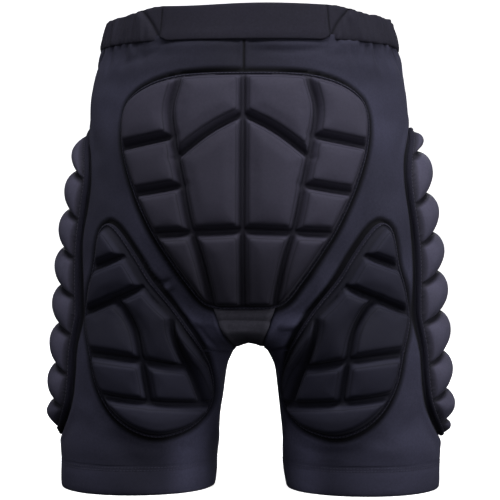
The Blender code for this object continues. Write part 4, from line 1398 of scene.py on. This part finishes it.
def build_stage():
    """A pale floor that turns up into a wall all round, outside every view's camera."""
    look = bpy.data.materials.new("sweep_look")
    look.use_nodes = True
    tree = look.node_tree
    bsdf = tree.nodes["Principled BSDF"]
    bsdf.inputs["Base Color"].default_value = grey(0.90)
    bsdf.inputs["Roughness"].default_value = 0.9
    bsdf.inputs["Emission Strength"].default_value = 1.0
    out = node(tree, "ShaderNodeVectorMath")
    out.operation = "LENGTH"
    tree.links.new(node(tree, "ShaderNodeTexCoord").outputs["Object"], out.inputs[0])
    reach = math_node(tree, "MULTIPLY", out.outputs["Value"], 0.25)
    glow = ramp(tree, reach, ((0.15, grey(0.82)), (0.45, grey(1))))
    tree.links.new(glow, bsdf.inputs["Emission Color"])
    flat_radius, bend_radius, wall_height = 2.6, 0.9, 6.0
    bend = [(flat_radius + bend_radius * math.sin(a), bend_radius * (1 - math.cos(a)))
            for a in np.linspace(0, math.pi / 2, 12)]
    ring_sheet("floor", look, [(0.02, 0.0), (1.0, 0.0), (flat_radius, 0.0)], True)
    backdrop = ring_sheet("backdrop", look, bend + [(flat_radius + bend_radius, wall_height)],
                          False)
    backdrop.visible_shadow = False


LAMP_TARGET = (0.0, 0.0, 0.24)
LAMPS = (                      # name, place, size, power in watts and colour
    ("soft_right", (1.50, -0.60, 0.85), (0.8, 1.2), 17.5, (0.97, 0.97, 1.0)),
    ("soft_left", (-1.50, -0.50, 0.90), (0.8, 1.2), 5.5, (0.95, 0.96, 1.0)),
    ("soft_top", (0.15, -0.80, 1.65), (1.4, 0.5), 33, (0.97, 0.97, 1.0)),
    ("soft_fill", (0.45, -1.75, 0.30), (1.3, 0.7), 7, (0.95, 0.96, 1.0)),
    ("soft_behind", (0.0, 2.20, 1.05), (1.5, 0.8), 34, (0.96, 0.97, 1.0)),
)


def area_light(name, place, size, power, colour):
    data = bpy.data.lights.new(name, "AREA")
    data.shape, data.size, data.size_y = "RECTANGLE", *size
    data.energy, data.color = power, colour
    lamp = bpy.data.objects.new(name, data)
    lamp.location = place
    aim = Vector(LAMP_TARGET) - Vector(place)
    lamp.rotation_euler = aim.to_track_quat("-Z", "Y").to_euler()
    lamp.visible_camera = False
    bpy.context.scene.collection.objects.link(lamp)


def build_lights():
    for lamp in LAMPS:
        area_light(*lamp)
    world = bpy.data.worlds.new("studio")
    world.use_nodes = True
    tree = world.node_tree
    split = node(tree, "ShaderNodeSeparateXYZ")
    tree.links.new(node(tree, "ShaderNodeTexCoord").outputs["Generated"], split.inputs[0])
    up = math_node(tree, "ADD", math_node(tree, "MULTIPLY", split.outputs[2], 0.5), 0.5)
    shade = ramp(tree, up, ((0.30, (0.03, 0.03, 0.035, 1)), (0.80, (0.40, 0.40, 0.44, 1))))
    background = tree.nodes["Background"]
    tree.links.new(shade, background.inputs["Color"])
    background.inputs["Strength"].default_value = 0.30
    bpy.context.scene.world = world
    bpy.context.scene.view_settings.view_transform = "Standard"


def build_camera():
    """At the height of the hips, a little to the wearer's right of straight behind."""
    distance, bearing, roll = 1.570, math.radians(2.9), math.radians(-0.1)
    target = Vector((0.0, DEPTH_SHIFT / 1000.0, 0.2314))
    offset = Vector((math.sin(bearing) * distance, -math.cos(bearing) * distance, 0.0))
    data = bpy.data.cameras.new("camera")
    data.sensor_width = 36.0
    data.lens = 114.3
    cam = bpy.data.objects.new("camera", data)
    cam.matrix_world = (Matrix.Translation(target + offset)
                        @ Matrix.Rotation(bearing, 4, "Z")
                        @ Matrix.Rotation(math.pi / 2, 4, "X")
                        @ Matrix.Rotation(roll, 4, "Z"))
    bpy.context.scene.collection.objects.link(cam)
    bpy.context.scene.camera = cam


def build_garment():
    drape = Drape()
    made, heights, shared = shell_panels()
    drape_shell(drape, made, heights)
    patches = {name: drape_cover(drape, name, *PADS[name][:3]) for name in PADS}
    moved = drape.settle()
    build_shell(made, heights, moved)
    build_gusset(*shared)
    build_hems()
    build_waistband()
    build_pads(patches, moved)
    build_stitching()


build_camera()
build_lights()
build_stage()
build_garment()
